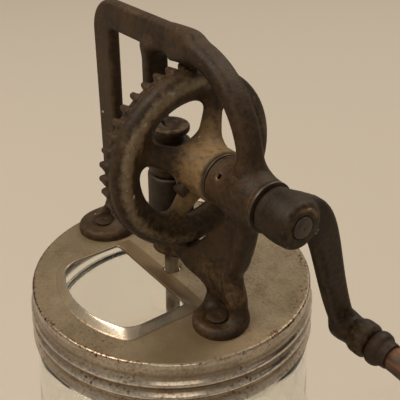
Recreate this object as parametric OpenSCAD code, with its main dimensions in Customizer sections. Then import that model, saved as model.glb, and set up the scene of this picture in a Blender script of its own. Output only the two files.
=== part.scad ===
// Glass jar butter churn: a square glass jar, a tin screw lid with a pouring opening,
// a cast iron gear frame riveted to the lid, a crank with a wooden grip and a wooden dasher.
// +Z up, origin at the centre of the jar's base, axle along +X, pouring opening towards -Y.

/* [Jar] */
// Width of the square jar body across its flats
jar_w = 140; // [128:1:160]
// Radius of the jar's upright corners
jar_corner_r = 34; // [24:1:44]
// Thickness of the glass
jar_wall = 4.5; // [3:0.5:6]
// Thickness of the jar's base
jar_base_t = 9; // [6:0.5:14]
// Height of the recessed heel under the body
jar_heel_h = 4; // [2:0.5:6]
// How far the heel stands back from the body
jar_heel_in = 3; // [1:0.5:6]
// Height of the straight square body
jar_body_h = 122; // [100:1:160]
// Height of the shoulder between the body and the collar
jar_shoulder_h = 93; // [70:1:110]
// How far the round collar stands out from the neck
collar_out = 4; // [2.5:0.5:6]
// Room between the lid's skirt and the collar
neck_room = 3; // [1:0.5:6]
// Radius of the round thread bead on the neck
bead_r = 1.5; // [1:0.1:2]
// Distance between the two thread beads
bead_pitch = 7; // [5:0.5:8]
// Depth of the upper thread bead below the mouth
bead_drop = 7; // [5:0.5:9]

/* [Lid] */
// Outer radius of the lid's top edge
lid_r = 60; // [57:0.5:66]
// Thickness of the tin sheet
lid_t = 1; // [0.6:0.1:1.4]
// Height of the skirt below the lid's top
skirt_h = 23; // [21:0.5:28]
// How far the skirt's lower edge stands out from the top edge
skirt_flare = 2; // [1:0.1:3]
// How far the rolled thread ridges stand out
ridge_out = 1.2; // [0.6:0.1:1.8]
// Room between the jar's thread beads and the skirt
thread_gap = 0.5; // [0.3:0.1:0.8]

/* [Pouring opening] */
// Height of the lip that rises round the opening
lip_rise = 3; // [2:0.5:4]
// How far the lip leans in at the opening's ends and round side
lip_run = 3; // [2:0.5:4]
// How far the lip leans in at the opening's straight side
lip_back = 6.5; // [4:0.5:8]
// Upright thickness of the lip's sheet
lip_sheet = 1.2; // [1:0.1:1.6]
// Width of the lip's upper edge
lip_edge = 0.6; // [0.4:0.1:0.8]
// Flat land between the lip's foot and the dasher's hole
lip_land = 1; // [0.6:0.1:2]
// Flat land between the lip's foot and the lid's edge
rim_land = 10.8; // [8:0.2:14]
// Room between the lip's foot and the front foot pad
lip_pad_gap = 0.2; // [0.1:0.1:2]
// Radial room of the dasher shaft in the lid
shaft_room = 0.8; // [0.5:0.1:1.5]

/* [Frame] */
// Height of the frame above the lid
frame_h = 108.5; // [104:0.5:116]
// Height of the top bar's side face
bar_h = 11.5; // [9:0.5:14]
// Thickness of the top bar and of the left leg
bar_t = 5.5; // [4:0.5:8]
// Thickness of the arch and the strut
frame_t = 10; // [8:0.5:12]
// Thickness of the front leg across the axle
front_leg_t = 7.6; // [6:0.2:10]
// Outer side of the left leg, measured from the dasher
left_leg_out = 52; // [48:0.5:54]
// Width of the left leg
left_leg_w = 12.5; // [9:0.5:15]
// Radius of the rounded corner over the left leg
corner_r = 14; // [8:0.5:15]
// Outer side of the front leg, measured from the dasher
front_leg_out = 52; // [50:0.5:54]
// Thickness of the front leg seen from the side
front_leg_w = 6.5; // [5:0.5:8]
// Width of the front leg above its foot, seen from the side
neck_w = 19; // [16:0.5:21]
// How far the front leg steps in below the boss
knee_in = 1; // [0.5:0.5:3]
// Height over which the front leg draws in to its waist, above the guide
waist_rise = 7; // [5:0.5:10]
// How far the front leg draws in at its waist
waist_in = 2.5; // [1:0.5:4]
// How far the web's upper edge starts in front of the boss's inner end
web_in = 4; // [3:0.5:5]
// How far the front leg spreads out at its foot
toe_out = 1.5; // [1:0.5:3]
// Radius of the arch from the top bar to the front leg
arch_r = 39; // [34:0.5:42]
// How far the arch starts below the top bar's upper side
arch_drop = 1.5; // [0.5:0.1:3]
// Thickness of the arch where it leaves the top bar
arch_top_w = 8.5; // [7:0.5:10]
// Width of the strut seen from the side
strut_w = 5; // [4:0.5:7]
// Distance of the strut's rear side from the dasher
strut_back = 11.5; // [10:0.5:14]
// Radius of the lug that holds the upper pivot
lug_r = 8.5; // [7:0.5:9]
// Height of the upper pivot lug
lug_h = 14; // [11:0.5:16]
// Radius of the lower guide round the dasher shaft
guide_r = 8; // [6:0.5:9]
// Height of the lower guide
guide_h = 9; // [7:0.5:10]
// Thickness of the arm that carries the lower guide
arm_t = 8; // [6:0.5:9]
// Room between the gear rim and the arm below it
gear_room = 2; // [1.5:0.1:3]
// Room between the gear rim and the top bar above it
bar_room = 0.7; // [0.5:0.1:2]
// Height of the upper pivot's seat above the axle
pivot_rise = 3; // [2:0.5:5]

/* [Feet] */
// Radius of the left foot pad
left_pad_r = 13; // [11:0.5:14]
// Radius of the front foot pad
front_pad_r = 11.5; // [10:0.5:12]
// Thickness of the foot pads
pad_t = 4; // [3:0.5:5]
// Room between the left rivet's washer and the jar's mouth
mouth_room = 2; // [1:0.5:4]
// How much nearer the front rivet stands to the dasher
front_rivet_in = 5; // [4:0.5:6]
// How far the foot pads stand in front of the axle
pad_front = 6; // [5:0.5:7]
// How far the rivets stand in front of the axle
rivet_front = 7; // [6:0.5:8]
// Radius of the rivet shanks
rivet_r = 2.2; // [1.6:0.1:2.6]
// Radius of the rivet heads
rivet_head_r = 4; // [3.2:0.1:4.6]
// Height of the rivet heads
rivet_head_h = 1.6; // [1:0.1:2.2]
// Radius of the rivets' hammered tails
rivet_tail_r = 3; // [2.8:0.1:3.2]
// Height of the rivets' hammered tails
rivet_tail_h = 0.8; // [0.5:0.1:1.2]
// Room round the rivet heads in the legs
rivet_room = 0.8; // [0.5:0.1:1.2]
// Thickness of the washers under the lid
rivet_washer_t = 1.2; // [0.8:0.1:1.6]

/* [Drive gear] */
// Number of teeth of the crown gear
gear_teeth = 40; // [36:4:44]
// Number of teeth of the pinion
pinion_teeth = 10; // [9:1:11]
// Pitch radius of the crown gear
gear_pitch_r = 33; // [31:0.5:34]
// Outer radius of the gear rim
gear_rim_r = 36.8; // [36:0.1:38]
// Inner radius of the gear rim
gear_rim_in = 23.8; // [20:0.1:25]
// Thickness of the gear rim
gear_rim_t = 7; // [6:0.5:8]
// Thickness of the rim's back plate that carries the teeth
tooth_root_t = 2.2; // [1.5:0.1:2.8]
// Number of spokes
gear_spokes = 4; // [3:1:6]
// Width of a spoke
spoke_w = 8; // [6:0.5:10]
// Thickness of a spoke at the rim
spoke_t = 5; // [4:0.5:6]
// Thickness of a spoke at the hub
spoke_hub_t = 9; // [7:0.5:11]
// Angle of the first spoke from the +Y direction
spoke_turn = 67; // [0:1:89]
// Radius of the gear hub
gear_hub_r = 10.5; // [9:0.5:12]
// Length of the gear hub
gear_hub_len = 16; // [12:0.5:18]
// Angle of the gear's cross pin from the +Y direction
gear_pin_turn = 30; // [0:1:89]
// Radius of the gear's cross pin
gear_pin_r = 1.9; // [1:0.1:2]
// Length of a crown tooth along the radius
tooth_len = 7; // [5:0.5:8]
// How far the teeth's outer ends stand back from the rim's bead
tooth_set = 0.6; // [0.2:0.1:1]
// How far the back plate stands back from the rim's bead
plate_in = 2.5; // [2:0.1:3]
// Height of the teeth above and below the pitch line
tooth_add = 1.2; // [0.9:0.1:1.4]
// Room between tooth tips and roots
tooth_gap = 0.5; // [0.4:0.1:0.8]

/* [Axle and crank] */
// Radius of the axle
axle_r = 4; // [3:0.1:5]
// How far the axle stands out of the gear and of the crank
axle_proud = 0.8; // [0.4:0.1:1.5]
// Radius of the axle boss
boss_r = 9.5; // [8:0.5:11]
// Distance of the boss's inner end from the dasher
boss_in = 34.6; // [33:0.1:36]
// Length of the axle boss
boss_len = 24; // [21:0.5:27]
// Radius of the oil hole in the boss
oil_r = 0.9; // [0.6:0.1:1.2]
// Angle of the oil hole from straight up towards -Y
oil_turn = 50; // [0:1:80]
// Thickness of the axle washers
axle_washer_t = 1.2; // [0.8:0.1:1.6]
// Radius of the crank hub
crank_hub_r = 8.7; // [8:0.1:10]
// Length of the crank hub
crank_hub_len = 15; // [12:0.5:20]
// Distance from axle to grip
crank_len = 71.5; // [64:0.5:80]
// Angle of the crank from straight down towards +Y
crank_turn = 30; // [0:1:60]
// Width of the crank arm at the hub
crank_w_hub = 15; // [10:0.5:16]
// Width of the crank arm at the grip
crank_w_end = 9.5; // [7:0.5:10]
// Thickness of the crank arm along the axle
crank_t = 6.5; // [5:0.5:9]
// Distance of the crank arm's inner face from the crank hub's inner end
crank_set = 4.8; // [3.8:0.1:6]
// How far the arm bows out sideways between hub and grip
crank_bow = 20; // [0:0.5:22]
// Radius of the boss at the crank's end
pin_boss_r = 7; // [6:0.1:8.5]
// Length of the boss at the crank's end, with the arm's thickness
pin_boss_len = 18.5; // [14:0.5:22]
// How far the boss stands back from the arm's inner face
pin_boss_set = 5; // [3:0.5:6]
// How far the arm reaches past the grip's axis
crank_over = 5; // [3.5:0.5:6]

/* [Grip] */
// Radius of the grip's spindle
spindle_r = 2.2; // [1.8:0.1:2.8]
// Length of the ferrule
ferrule_len = 9; // [7:0.5:12]
// Radius of the ferrule
ferrule_r = 7.2; // [6.5:0.1:8.5]
// Bevel of the ferrule's edges
ferrule_edge = 0.6; // [0.3:0.1:0.8]
// Length of the wooden grip
grip_len = 76; // [60:1:90]
// Radius of the grip at the ferrule
grip_neck_r = 5.4; // [5:0.1:6]
// Largest radius of the grip
grip_max_r = 10.5; // [8:0.5:13]
// Radius of the grip's free end
grip_end_r = 7; // [5.5:0.5:8]
// Thickness of the washer at the grip's end
spindle_washer_t = 1.2; // [0.8:0.1:1.6]
// Radius of the washer at the grip's end
spindle_washer_r = 5.5; // [4.5:0.1:6]
// Radius of the spindle's heads
spindle_head_r = 3.2; // [3:0.1:4]
// Height of the spindle's head at the grip's end
spindle_head_h = 2; // [1:0.1:3]
// Height of the spindle's head behind the crank arm
peen_h = 1; // [0.6:0.1:1.2]

/* [Pivot, pinion and shaft] */
// Radius of the dasher shaft
shaft_r = 3.15; // [2.6:0.05:3.4]
// Radius of the pivot screw's head
pivot_head_r = 6.6; // [5.5:0.1:7.5]
// Height of the pivot screw's head
pivot_head_h = 4; // [3:0.5:5]
// Radius of the pivot screw's shank
pivot_r = 4.2; // [3.8:0.1:5]
// Width of the screwdriver slot
slot_w = 1.6; // [1.2:0.1:2]
// Radius of the pinion's sleeve
sleeve_r = 7.2; // [6:0.1:7.6]
// Length of the pinion's toothed part
pinion_face = 10; // [8:0.5:11]
// How far the sleeve reaches down between the teeth
sleeve_sink = 0.6; // [0.3:0.1:1]
// Thickness of the washer under the pinion
pinion_washer_t = 1.5; // [1:0.1:2]
// Radius of the pinion's cross pin
pin_r = 1.1; // [0.8:0.1:1.4]
// How far the cross pins stand out at each end
pin_proud = 0.6; // [0.2:0.1:0.8]

/* [Dasher] */
// Height of the paddle boards' lower edge above the jar's base
board_low = 26; // [24:1:40]
// Height of the paddle boards
board_h = 60; // [40:1:90]
// Length of the paddle boards
board_len = 80; // [60:1:84]
// Thickness of the paddle boards
board_t = 11; // [9:0.5:14]
// Radius of the holes in the boards
board_hole_r = 8; // [5:0.5:10]
// Radius of the shaft's reduced end
shaft_end_r = 2.4; // [2:0.1:2.5]
// Thickness of the dasher washers
dasher_washer_t = 1.5; // [1:0.1:2]
// Radius of the dasher washers
dasher_washer_r = 9; // [8:0.5:12]
// Width of the square nut
nut_w = 9.5; // [8:0.5:12]
// Height of the square nut
nut_h = 5; // [4:0.5:6]
// How far the shaft's end stands out below the nut
thread_end = 2; // [1:0.5:3]

/* [Fits] */
// Radial room of turning shafts
run_gap = 0.06; // [0.03:0.01:0.09]
// Radial room of pins, rivets and pieces fixed on a shaft
seat_gap = 0.05; // [0.03:0.01:0.08]
// End play of turning pieces
end_play = 0.3; // [0.2:0.05:0.4]

/* [Hidden] */
$fn = 64;

// Extra length that lets a cut pass clean through
cut = 1;
// Overlap that joins two shapes of one piece
fuse = 0.01;

iron = [0.30, 0.25, 0.19];
steel = [0.42, 0.39, 0.35];
tin = [0.62, 0.58, 0.52];
glass = [0.80, 0.86, 0.83, 0.4];
wood = [0.60, 0.38, 0.20];

// Heights from the jar's base
collar_z = jar_body_h + jar_shoulder_h;
jar_h = collar_z + collar_out + neck_room + skirt_h - lid_t;
lid_top = jar_h + lid_t;
bar_low = frame_h - bar_h;
axle_z = bar_low - bar_room - gear_rim_r;
axle_h = lid_top + axle_z;
neck_r = lid_r - lid_t - thread_gap - bead_r;
collar_r = neck_r + collar_out;
corner_reach = sqrt(2) * (jar_w / 2 - jar_corner_r) + jar_corner_r;

// Frame and its rivets
left_rivet_x = sqrt(pow(neck_r - jar_wall - mouth_room - rivet_head_r, 2) - pow(rivet_front, 2));
front_rivet_x = left_rivet_x - front_rivet_in;
open_half_w = front_rivet_x - front_pad_r - lip_pad_gap - lip_run;
open_edge = shaft_r + shaft_room + lip_land + lip_back;
open_arc_r = lid_r - rim_land - lip_run;
arch_x = front_leg_out - arch_r;
arch_z = frame_h - arch_drop - arch_r;
arch_in_r = arch_r - arch_top_w;
leg_in = front_leg_out - front_leg_w;
boss_out = boss_in + boss_len;
neck_in = front_rivet_x - neck_w * 0.65;
neck_out = front_rivet_x + neck_w * 0.35;
guide_top = axle_z - gear_rim_r - gear_room;
guide_low = guide_top - guide_h;
pinion_low = guide_top + pinion_washer_t;
pivot_seat = axle_z + pivot_rise;
lug_low = pivot_seat - lug_h;
shaft_top = pivot_seat - lug_h / 2 - end_play;

// Gear and pinion in mesh below the axle
ratio = gear_teeth / pinion_teeth;
pinion_pitch_r = gear_pitch_r / ratio;
pinion_tip_r = pinion_pitch_r + tooth_add;
pinion_root_r = pinion_pitch_r - tooth_add - tooth_gap;
rim_back = pinion_tip_r + tooth_gap;
rim_front = rim_back + gear_rim_t;
web_start = rim_front + gear_room;
rim_mid = (rim_back + rim_front) / 2;
rim_bevel = 0.28 * gear_rim_t;
bead_back = rim_back + tooth_root_t + 0.5;
tooth_tip_x = pinion_pitch_r - tooth_add;
tooth_step = 2 * PI * gear_pitch_r / gear_teeth;
gear_hub_front = boss_in - axle_washer_t - end_play / 2;
gear_hub_back = gear_hub_front - gear_hub_len;
gear_pin_x = gear_hub_back + gear_hub_len * 0.35;

// Crank and grip along the axle
crank_in = boss_out + axle_washer_t + end_play / 2;
crank_out = crank_in + crank_hub_len;
arm_in = crank_in + crank_set;
pin_end = arm_in + pin_boss_len;
ferrule_in = pin_end + end_play;
grip_out = ferrule_in + ferrule_len + grip_len;
spindle_seat = grip_out + end_play;
pin_y = crank_len * sin(crank_turn);
pin_z = axle_h - crank_len * cos(crank_turn);

// A square with round corners, width w and corner radius r
module round_square(w, r) {
    square([w, w - 2 * r], center = true);
    square([w - 2 * r, w], center = true);
    for (sx = [-1, 1], sy = [-1, 1])
        translate([sx * (w / 2 - r), sy * (w / 2 - r)]) circle(r);
}

// Draws a side view (x to the right, z up) as a plate of thickness t across the axle
module side_plate(t) {
    rotate([90, 0, 0]) linear_extrude(height = t, center = true) children();
}

// A rod along the axle from x0 to x1
module rod_x(r, x0, x1) {
    translate([x0, 0, 0]) rotate([0, 90, 0]) cylinder(r = r, h = x1 - x0);
}

// A flat ring
module ring(r_out, r_in, h) {
    difference() {
        cylinder(r = r_out, h = h);
        translate([0, 0, -cut]) cylinder(r = r_in, h = h + 2 * cut);
    }
}

// Half section of the jar from base to mouth, drawn in by inset all round: straight sides,
// a shoulder that leans out from the collar and swings to the corners, a quarter round, the neck
function swing(t) = 0.2 * t + 0.8 * (1 - cos(180 * pow(t, 3))) / 2;
function shoulder(t, inset) = [
    collar_r + (corner_reach + jar_wall - collar_r) * swing(t) - inset,
    collar_z - jar_shoulder_h * t
];
function collar(a, inset) = [
    neck_r + collar_out * cos(a) - inset,
    collar_z + collar_out * sin(a)
];
module jar_half(inset, low, high) {
    polygon(concat(
        [[0, low], [corner_reach + jar_wall - inset, low]],
        [for (i = [12 : -1 : 0]) shoulder(i / 12, inset)],
        [for (a = [18 : 18 : 90]) collar(a, inset)],
        [[neck_r - inset, high], [0, high]]));
}

module glass_jar() {
    color(glass) difference() {
        union() {
            linear_extrude(height = jar_heel_h + cut)
                round_square(jar_w - 2 * jar_heel_in, jar_corner_r - jar_heel_in);
            intersection() {
                translate([0, 0, jar_heel_h])
                    linear_extrude(height = jar_h) round_square(jar_w, jar_corner_r);
                rotate_extrude() jar_half(0, 0, jar_h);
            }
            for (i = [0, 1]) rotate_extrude()
                translate([neck_r, jar_h - bead_drop - i * bead_pitch]) circle(bead_r, $fn = 24);
        }
        intersection() {
            translate([0, 0, jar_base_t]) linear_extrude(height = jar_h)
                round_square(jar_w - 2 * jar_wall, jar_corner_r - jar_wall);
            rotate_extrude() jar_half(jar_wall, jar_base_t, jar_h + cut);
        }
    }
}

// Outline of the opening between the lip's upper edges
module opening_outline() {
    intersection() {
        circle(open_arc_r - lip_edge, $fn = 128);
        translate([lip_edge - open_half_w, -open_arc_r])
            square([2 * (open_half_w - lip_edge), open_arc_r - open_edge - lip_edge]);
    }
}
// Form under the lip: it leans in from the lip's foot to its upper edge, with a cone as the round side
module lip_form() {
    foot_w = open_half_w + lip_run;
    foot_r = open_arc_r + lip_run;
    intersection() {
        cylinder(r1 = foot_r, r2 = open_arc_r, h = lip_rise, $fn = 128);
        rotate([90, 0, 0]) linear_extrude(height = foot_r)
            polygon([[-foot_w, 0], [foot_w, 0], [open_half_w, lip_rise], [-open_half_w, lip_rise]]);
        rotate([90, 0, 90]) linear_extrude(height = 2 * foot_w, center = true)
            polygon([[-foot_r, 0], [lip_back - open_edge, 0], [-open_edge, lip_rise], [-foot_r, lip_rise]]);
    }
}

// Half section of the skirt: a plain band, two rolled thread ridges, a flared edge
function skirt_line(inset) = [
    [lid_r - inset, 0],
    [lid_r - inset, -0.30 * skirt_h],
    [lid_r + ridge_out - inset, -0.42 * skirt_h],
    [lid_r + ridge_out / 4 - inset, -0.54 * skirt_h],
    [lid_r + ridge_out * 1.2 - inset, -0.68 * skirt_h],
    [lid_r + ridge_out / 2 - inset, -0.82 * skirt_h],
    [lid_r + skirt_flare - inset, -skirt_h]
];
module screw_lid() {
    color(tin) translate([0, 0, lid_top]) difference() {
        union() {
            translate([0, 0, -lid_t]) cylinder(r = lid_r - lid_t / 2, h = lid_t);
            rotate_extrude() polygon(concat(skirt_line(0), [for (i = [6 : -1 : 0]) skirt_line(lid_t)[i]]));
            translate([0, 0, -fuse]) lip_form();
        }
        translate([0, 0, -lip_sheet]) lip_form();
        translate([0, 0, -lid_t - cut])
            linear_extrude(height = lip_rise + lid_t + 2 * cut) opening_outline();
        translate([0, 0, -lid_t - cut]) cylinder(r = shaft_r + shaft_room, h = lid_t + 2 * cut);
        rivet_places() translate([0, 0, -lid_t - cut])
            cylinder(r = rivet_r + seat_gap, h = lid_t + 2 * cut);
    }
}

// The two rivet places on the lid
module rivet_places() {
    translate([-left_rivet_x, -rivet_front, 0]) children();
    translate([front_rivet_x, -rivet_front, 0]) children();
}

// Side view of the left leg and the top bar with their round corner
module leg_and_bar_side() {
    difference() {
        union() {
            translate([-left_leg_out, 0]) square([left_leg_w, frame_h]);
            translate([-left_leg_out, bar_low]) square([left_leg_out + arch_x + arch_top_w / 2, bar_h]);
        }
        translate([-left_leg_out, frame_h - corner_r]) difference() {
            translate([-cut, 0]) square([corner_r + cut, corner_r + cut]);
            translate([corner_r, 0]) circle(corner_r);
        }
    }
}
// The arch is a quarter ring that narrows to a straight strap down to the boss
module arch_side() {
    intersection() {
        translate([arch_x, arch_z]) square(arch_r + cut);
        difference() {
            translate([arch_x, arch_z]) circle(arch_r, $fn = 128);
            translate([leg_in - arch_in_r, arch_z]) circle(arch_in_r, $fn = 128);
        }
    }
    translate([leg_in, axle_z]) square([front_leg_w, arch_z - axle_z]);
}
// Front leg below the boss: a broad web down to the foot and the guide arm
module front_leg_side() {
    polygon([
        [leg_in, axle_z], [front_leg_out, axle_z], [front_leg_out, axle_z - boss_r],
        [front_leg_out - knee_in, axle_z - 2 * boss_r], [neck_out, guide_top + waist_rise],
        [neck_out - waist_in, guide_top], [neck_out, guide_low], [neck_out + toe_out, pad_t],
        [neck_out + toe_out, 0], [neck_in + toe_out, 0], [neck_in, guide_low], [web_start, guide_low],
        [web_start, guide_top], [boss_in + web_in, axle_z - boss_r - knee_in]
    ]);
}
module gear_frame() {
    color(iron) translate([0, 0, lid_top]) difference() {
        union() {
            side_plate(bar_t) leg_and_bar_side();
            side_plate(frame_t) arch_side();
            side_plate(front_leg_t) front_leg_side();
            side_plate(arm_t) translate([0, guide_low]) square([neck_in, guide_h]);
            side_plate(frame_t) translate([-strut_back, lug_low])
                square([strut_w, bar_low - lug_low + 1]);
            translate([-strut_back, -frame_t / 2, lug_low]) cube([strut_back, frame_t, lug_h]);
            translate([0, 0, lug_low]) cylinder(r = lug_r, h = lug_h);
            translate([0, 0, guide_low]) cylinder(r = guide_r, h = guide_h);
            translate([0, 0, axle_z]) rod_x(boss_r, boss_in, boss_out);
            translate([-left_rivet_x, -pad_front, 0]) cylinder(r = left_pad_r, h = pad_t);
            translate([front_rivet_x, -pad_front, 0]) cylinder(r = front_pad_r, h = pad_t);
        }
        translate([0, 0, axle_z]) rod_x(axle_r + run_gap, boss_in - cut, boss_out + cut);
        translate([boss_in + boss_len / 4, 0, axle_z]) rotate([oil_turn, 0, 0])
            cylinder(r = oil_r, h = boss_r + cut);
        translate([0, 0, guide_low - cut]) cylinder(r = shaft_r + run_gap, h = guide_h + 2 * cut);
        translate([0, 0, lug_low - cut]) cylinder(r = shaft_r + run_gap, h = lug_h);
        translate([0, 0, pivot_seat - lug_h / 2])
            cylinder(r = pivot_r + seat_gap, h = lug_h / 2 + cut);
        rivet_places() translate([0, 0, -cut]) cylinder(r = rivet_r + seat_gap, h = pad_t + 2 * cut);
        rivet_places() translate([0, 0, pad_t]) cylinder(r = rivet_head_r + rivet_room, h = frame_t);
    }
}

module foot_rivets() {
    color(iron) translate([0, 0, lid_top]) rivet_places() {
        translate([0, 0, -rivet_low]) cylinder(r = rivet_r, h = rivet_low + pad_t);
        translate([0, 0, pad_t]) intersection() {
            cylinder(r = rivet_head_r, h = rivet_head_h);
            translate([0, 0, rivet_head_h - dome_r]) sphere(dome_r, $fn = 96);
        }
        translate([0, 0, -rivet_low]) cylinder(r = rivet_tail_r, h = rivet_tail_h);
    }
}
// Depth of the rivets below the lid's top
rivet_low = lid_t + rivet_washer_t + rivet_tail_h;
// Sphere whose cap is the rivet's head
dome_r = (rivet_head_r * rivet_head_r + rivet_head_h * rivet_head_h) / (2 * rivet_head_h);

module rivet_washers() {
    color(steel) translate([0, 0, lid_top - lid_t - rivet_washer_t]) rivet_places()
        ring(rivet_head_r, rivet_r + seat_gap, rivet_washer_t);
}

module pivot_screw() {
    color(iron) translate([0, 0, lid_top + pivot_seat]) difference() {
        union() {
            translate([0, 0, -lug_h / 2]) cylinder(r = pivot_r, h = lug_h / 2 + fuse);
            cylinder(r = pivot_head_r, h = pivot_head_h);
        }
        translate([-pivot_head_r - cut, -slot_w / 2, pivot_head_h / 2])
            cube([2 * pivot_head_r + 2 * cut, slot_w, pivot_head_h]);
    }
}

// One crown tooth along +Y, pointing to -X, drawn in its cross section
module crown_tooth() {
    base = 0.235 * tooth_step;
    tip = 0.11 * tooth_step;
    translate([0, gear_rim_r - tooth_set - tooth_len, 0]) rotate([-90, 0, 0])
        linear_extrude(height = tooth_len)
            polygon([[bead_back, -base], [rim_back, -base], [tooth_tip_x, -tip],
                [tooth_tip_x, tip], [rim_back, base], [bead_back, base]]);
}

// Half section of the rim: a back plate that carries the teeth and a full bead in front
module rim_half() {
    polygon([
        [gear_rim_in + rim_bevel, rim_back], [gear_rim_r - plate_in, rim_back],
        [gear_rim_r - plate_in, rim_back + tooth_root_t], [gear_rim_r, bead_back],
        [gear_rim_r, rim_front - rim_bevel], [gear_rim_r - rim_bevel, rim_front],
        [gear_rim_in + rim_bevel, rim_front], [gear_rim_in, rim_front - rim_bevel],
        [gear_rim_in, rim_back + rim_bevel]]);
}
module drive_gear() {
    color(iron) translate([0, 0, axle_h]) difference() {
        union() {
            rotate([0, 90, 0]) rotate_extrude($fn = 128) rim_half();
            rod_x(gear_hub_r, gear_hub_back, gear_hub_front);
            for (i = [0 : gear_spokes - 1]) rotate([spoke_turn + i * 360 / gear_spokes, 0, 0]) spoke();
            for (i = [0 : gear_teeth - 1]) rotate([90 + i * 360 / gear_teeth, 0, 0]) crown_tooth();
        }
        rod_x(axle_r + seat_gap, 0, boss_in);
        translate([gear_pin_x, 0, 0]) rotate([gear_pin_turn - 90, 0, 0])
            cylinder(r = gear_pin_r + seat_gap, h = 4 * gear_hub_r, center = true);
    }
}
// A spoke along +Y: it leans from the middle of the rim out to the hub and grows wider there
module spoke() {
    rim_end = gear_rim_in + rim_bevel;
    hub_end = (axle_r + gear_hub_r) / 2;
    linear_extrude(height = spoke_w, center = true) polygon([
        [rim_mid - spoke_t / 2, rim_end], [rim_mid + spoke_t / 2, rim_end],
        [gear_hub_back + spoke_hub_t, hub_end], [gear_hub_back, hub_end]]);
}

module gear_axle() {
    color(steel) translate([0, 0, axle_h]) difference() {
        rod_x(axle_r, gear_hub_back - axle_proud, crank_out + axle_proud);
        translate([gear_pin_x, 0, 0]) rotate([gear_pin_turn - 90, 0, 0])
            cylinder(r = gear_pin_r + seat_gap, h = 4 * axle_r, center = true);
    }
}

module gear_pin() {
    color(steel) translate([gear_pin_x, 0, axle_h]) rotate([gear_pin_turn - 90, 0, 0])
        cylinder(r = gear_pin_r, h = 2 * (gear_hub_r + pin_proud), center = true);
}

module gear_washer() {
    color(steel) translate([boss_in - axle_washer_t, 0, axle_h]) rotate([0, 90, 0])
        ring(boss_r, axle_r + seat_gap, axle_washer_t);
}

module crank_washer() {
    color(steel) translate([boss_out, 0, axle_h]) rotate([0, 90, 0])
        ring(boss_r, axle_r + seat_gap, axle_washer_t);
}

// Middle line of the crank arm: a curve that leaves the hub sideways, then runs straight past the grip's axis
function crank_mid(t) = 3 * t * pow(1 - t, 2) * [crank_bow, -0.12 * crank_len]
    + 3 * t * t * (1 - t) * [0.18 * crank_bow, -0.4 * crank_len] + pow(t, 3) * [0, -crank_len];
function crank_half(t) = (crank_w_hub + (crank_w_end - crank_w_hub) * t) / 2;
module crank_side() {
    steps = 16;
    end = [crank_w_end / 2, -crank_len - crank_over];
    polygon(concat(
        [for (i = [0 : steps]) crank_mid(i / steps) + [crank_half(i / steps), 0]],
        [end, [-end[0], end[1]]],
        [for (i = [steps : -1 : 0]) crank_mid(i / steps) - [crank_half(i / steps), 0]]));
}
module crank_arm() {
    color(iron) translate([0, 0, axle_h]) rotate([crank_turn, 0, 0]) difference() {
        union() {
            rod_x(crank_hub_r, crank_in, crank_out);
            translate([arm_in, 0, 0]) rotate([90, 0, 90]) linear_extrude(height = crank_t) crank_side();
            translate([0, 0, -crank_len]) rod_x(pin_boss_r, arm_in + pin_boss_set, pin_end);
        }
        rod_x(axle_r + seat_gap, crank_in - cut, crank_out + cut);
        translate([0, 0, -crank_len]) rod_x(spindle_r + seat_gap, arm_in - cut, pin_end + cut);
    }
}

module handle_spindle() {
    spindle_end = spindle_seat + spindle_washer_t + spindle_head_h;
    color(steel) translate([0, pin_y, pin_z]) {
        rod_x(spindle_r, arm_in - peen_h, spindle_end);
        rod_x(spindle_head_r, spindle_end - spindle_head_h, spindle_end);
        rod_x(spindle_head_r, arm_in - peen_h, arm_in);
    }
}

module spindle_washer() {
    color(steel) translate([spindle_seat, pin_y, pin_z]) rotate([0, 90, 0])
        ring(spindle_washer_r, spindle_r + seat_gap, spindle_washer_t);
}

module handle_ferrule() {
    color(iron) translate([ferrule_in, pin_y, pin_z]) rotate([0, 90, 0])
        rotate_extrude() polygon([
            [spindle_r + run_gap, 0], [ferrule_r - ferrule_edge, 0], [ferrule_r, ferrule_edge],
            [ferrule_r, ferrule_len / 2], [grip_neck_r + ferrule_edge, ferrule_len],
            [spindle_r + run_gap, ferrule_len]]);
}

// Radius of the grip at a share t of its length: slim neck, full middle, round end
function grip_r(t) = t < 0.6
    ? grip_neck_r + (grip_max_r - grip_neck_r) * (1 - cos(180 * t / 0.6)) / 2
    : grip_end_r + (grip_max_r - grip_end_r) * (1 + cos(180 * (t - 0.6) / 0.4)) / 2;
module wooden_grip() {
    color(wood) translate([ferrule_in + ferrule_len, pin_y, pin_z]) rotate([0, 90, 0])
        rotate_extrude() polygon(concat(
            [[spindle_r + run_gap, 0]],
            [for (i = [0 : 16]) [grip_r(i / 16), grip_len * i / 16]],
            [[spindle_r + run_gap, grip_len]]));
}

module pinion() {
    half_root = 0.20 * tooth_step;
    half_tip = 0.09 * tooth_step;
    color(iron) translate([0, 0, lid_top + pinion_low]) difference() {
        union() {
            linear_extrude(height = pinion_face) {
                circle(pinion_root_r);
                for (i = [0 : pinion_teeth - 1]) rotate((i + 0.5) * 360 / pinion_teeth)
                    polygon([[pinion_root_r - tooth_gap, -half_root], [pinion_tip_r, -half_tip],
                        [pinion_tip_r, half_tip], [pinion_root_r - tooth_gap, half_root]]);
            }
            translate([0, 0, pinion_face - sleeve_sink]) cylinder(r = sleeve_r, h = sleeve_len + sleeve_sink);
        }
        translate([0, 0, -cut])
            cylinder(r = shaft_r + seat_gap, h = pinion_face + sleeve_len + 2 * cut);
        translate([0, 0, pin_up]) rotate([90, 0, 0])
            cylinder(r = pin_r + seat_gap, h = 4 * sleeve_r, center = true);
    }
}
// The sleeve reaches up to the lug, and the pin crosses its middle
sleeve_len = lug_low - end_play - pinion_low - pinion_face;
pin_up = pinion_face + sleeve_len / 2;

module pinion_pin() {
    color(steel) translate([0, 0, lid_top + pinion_low + pin_up]) rotate([90, 0, 0])
        cylinder(r = pin_r, h = 2 * (sleeve_r + pin_proud), center = true);
}

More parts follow.
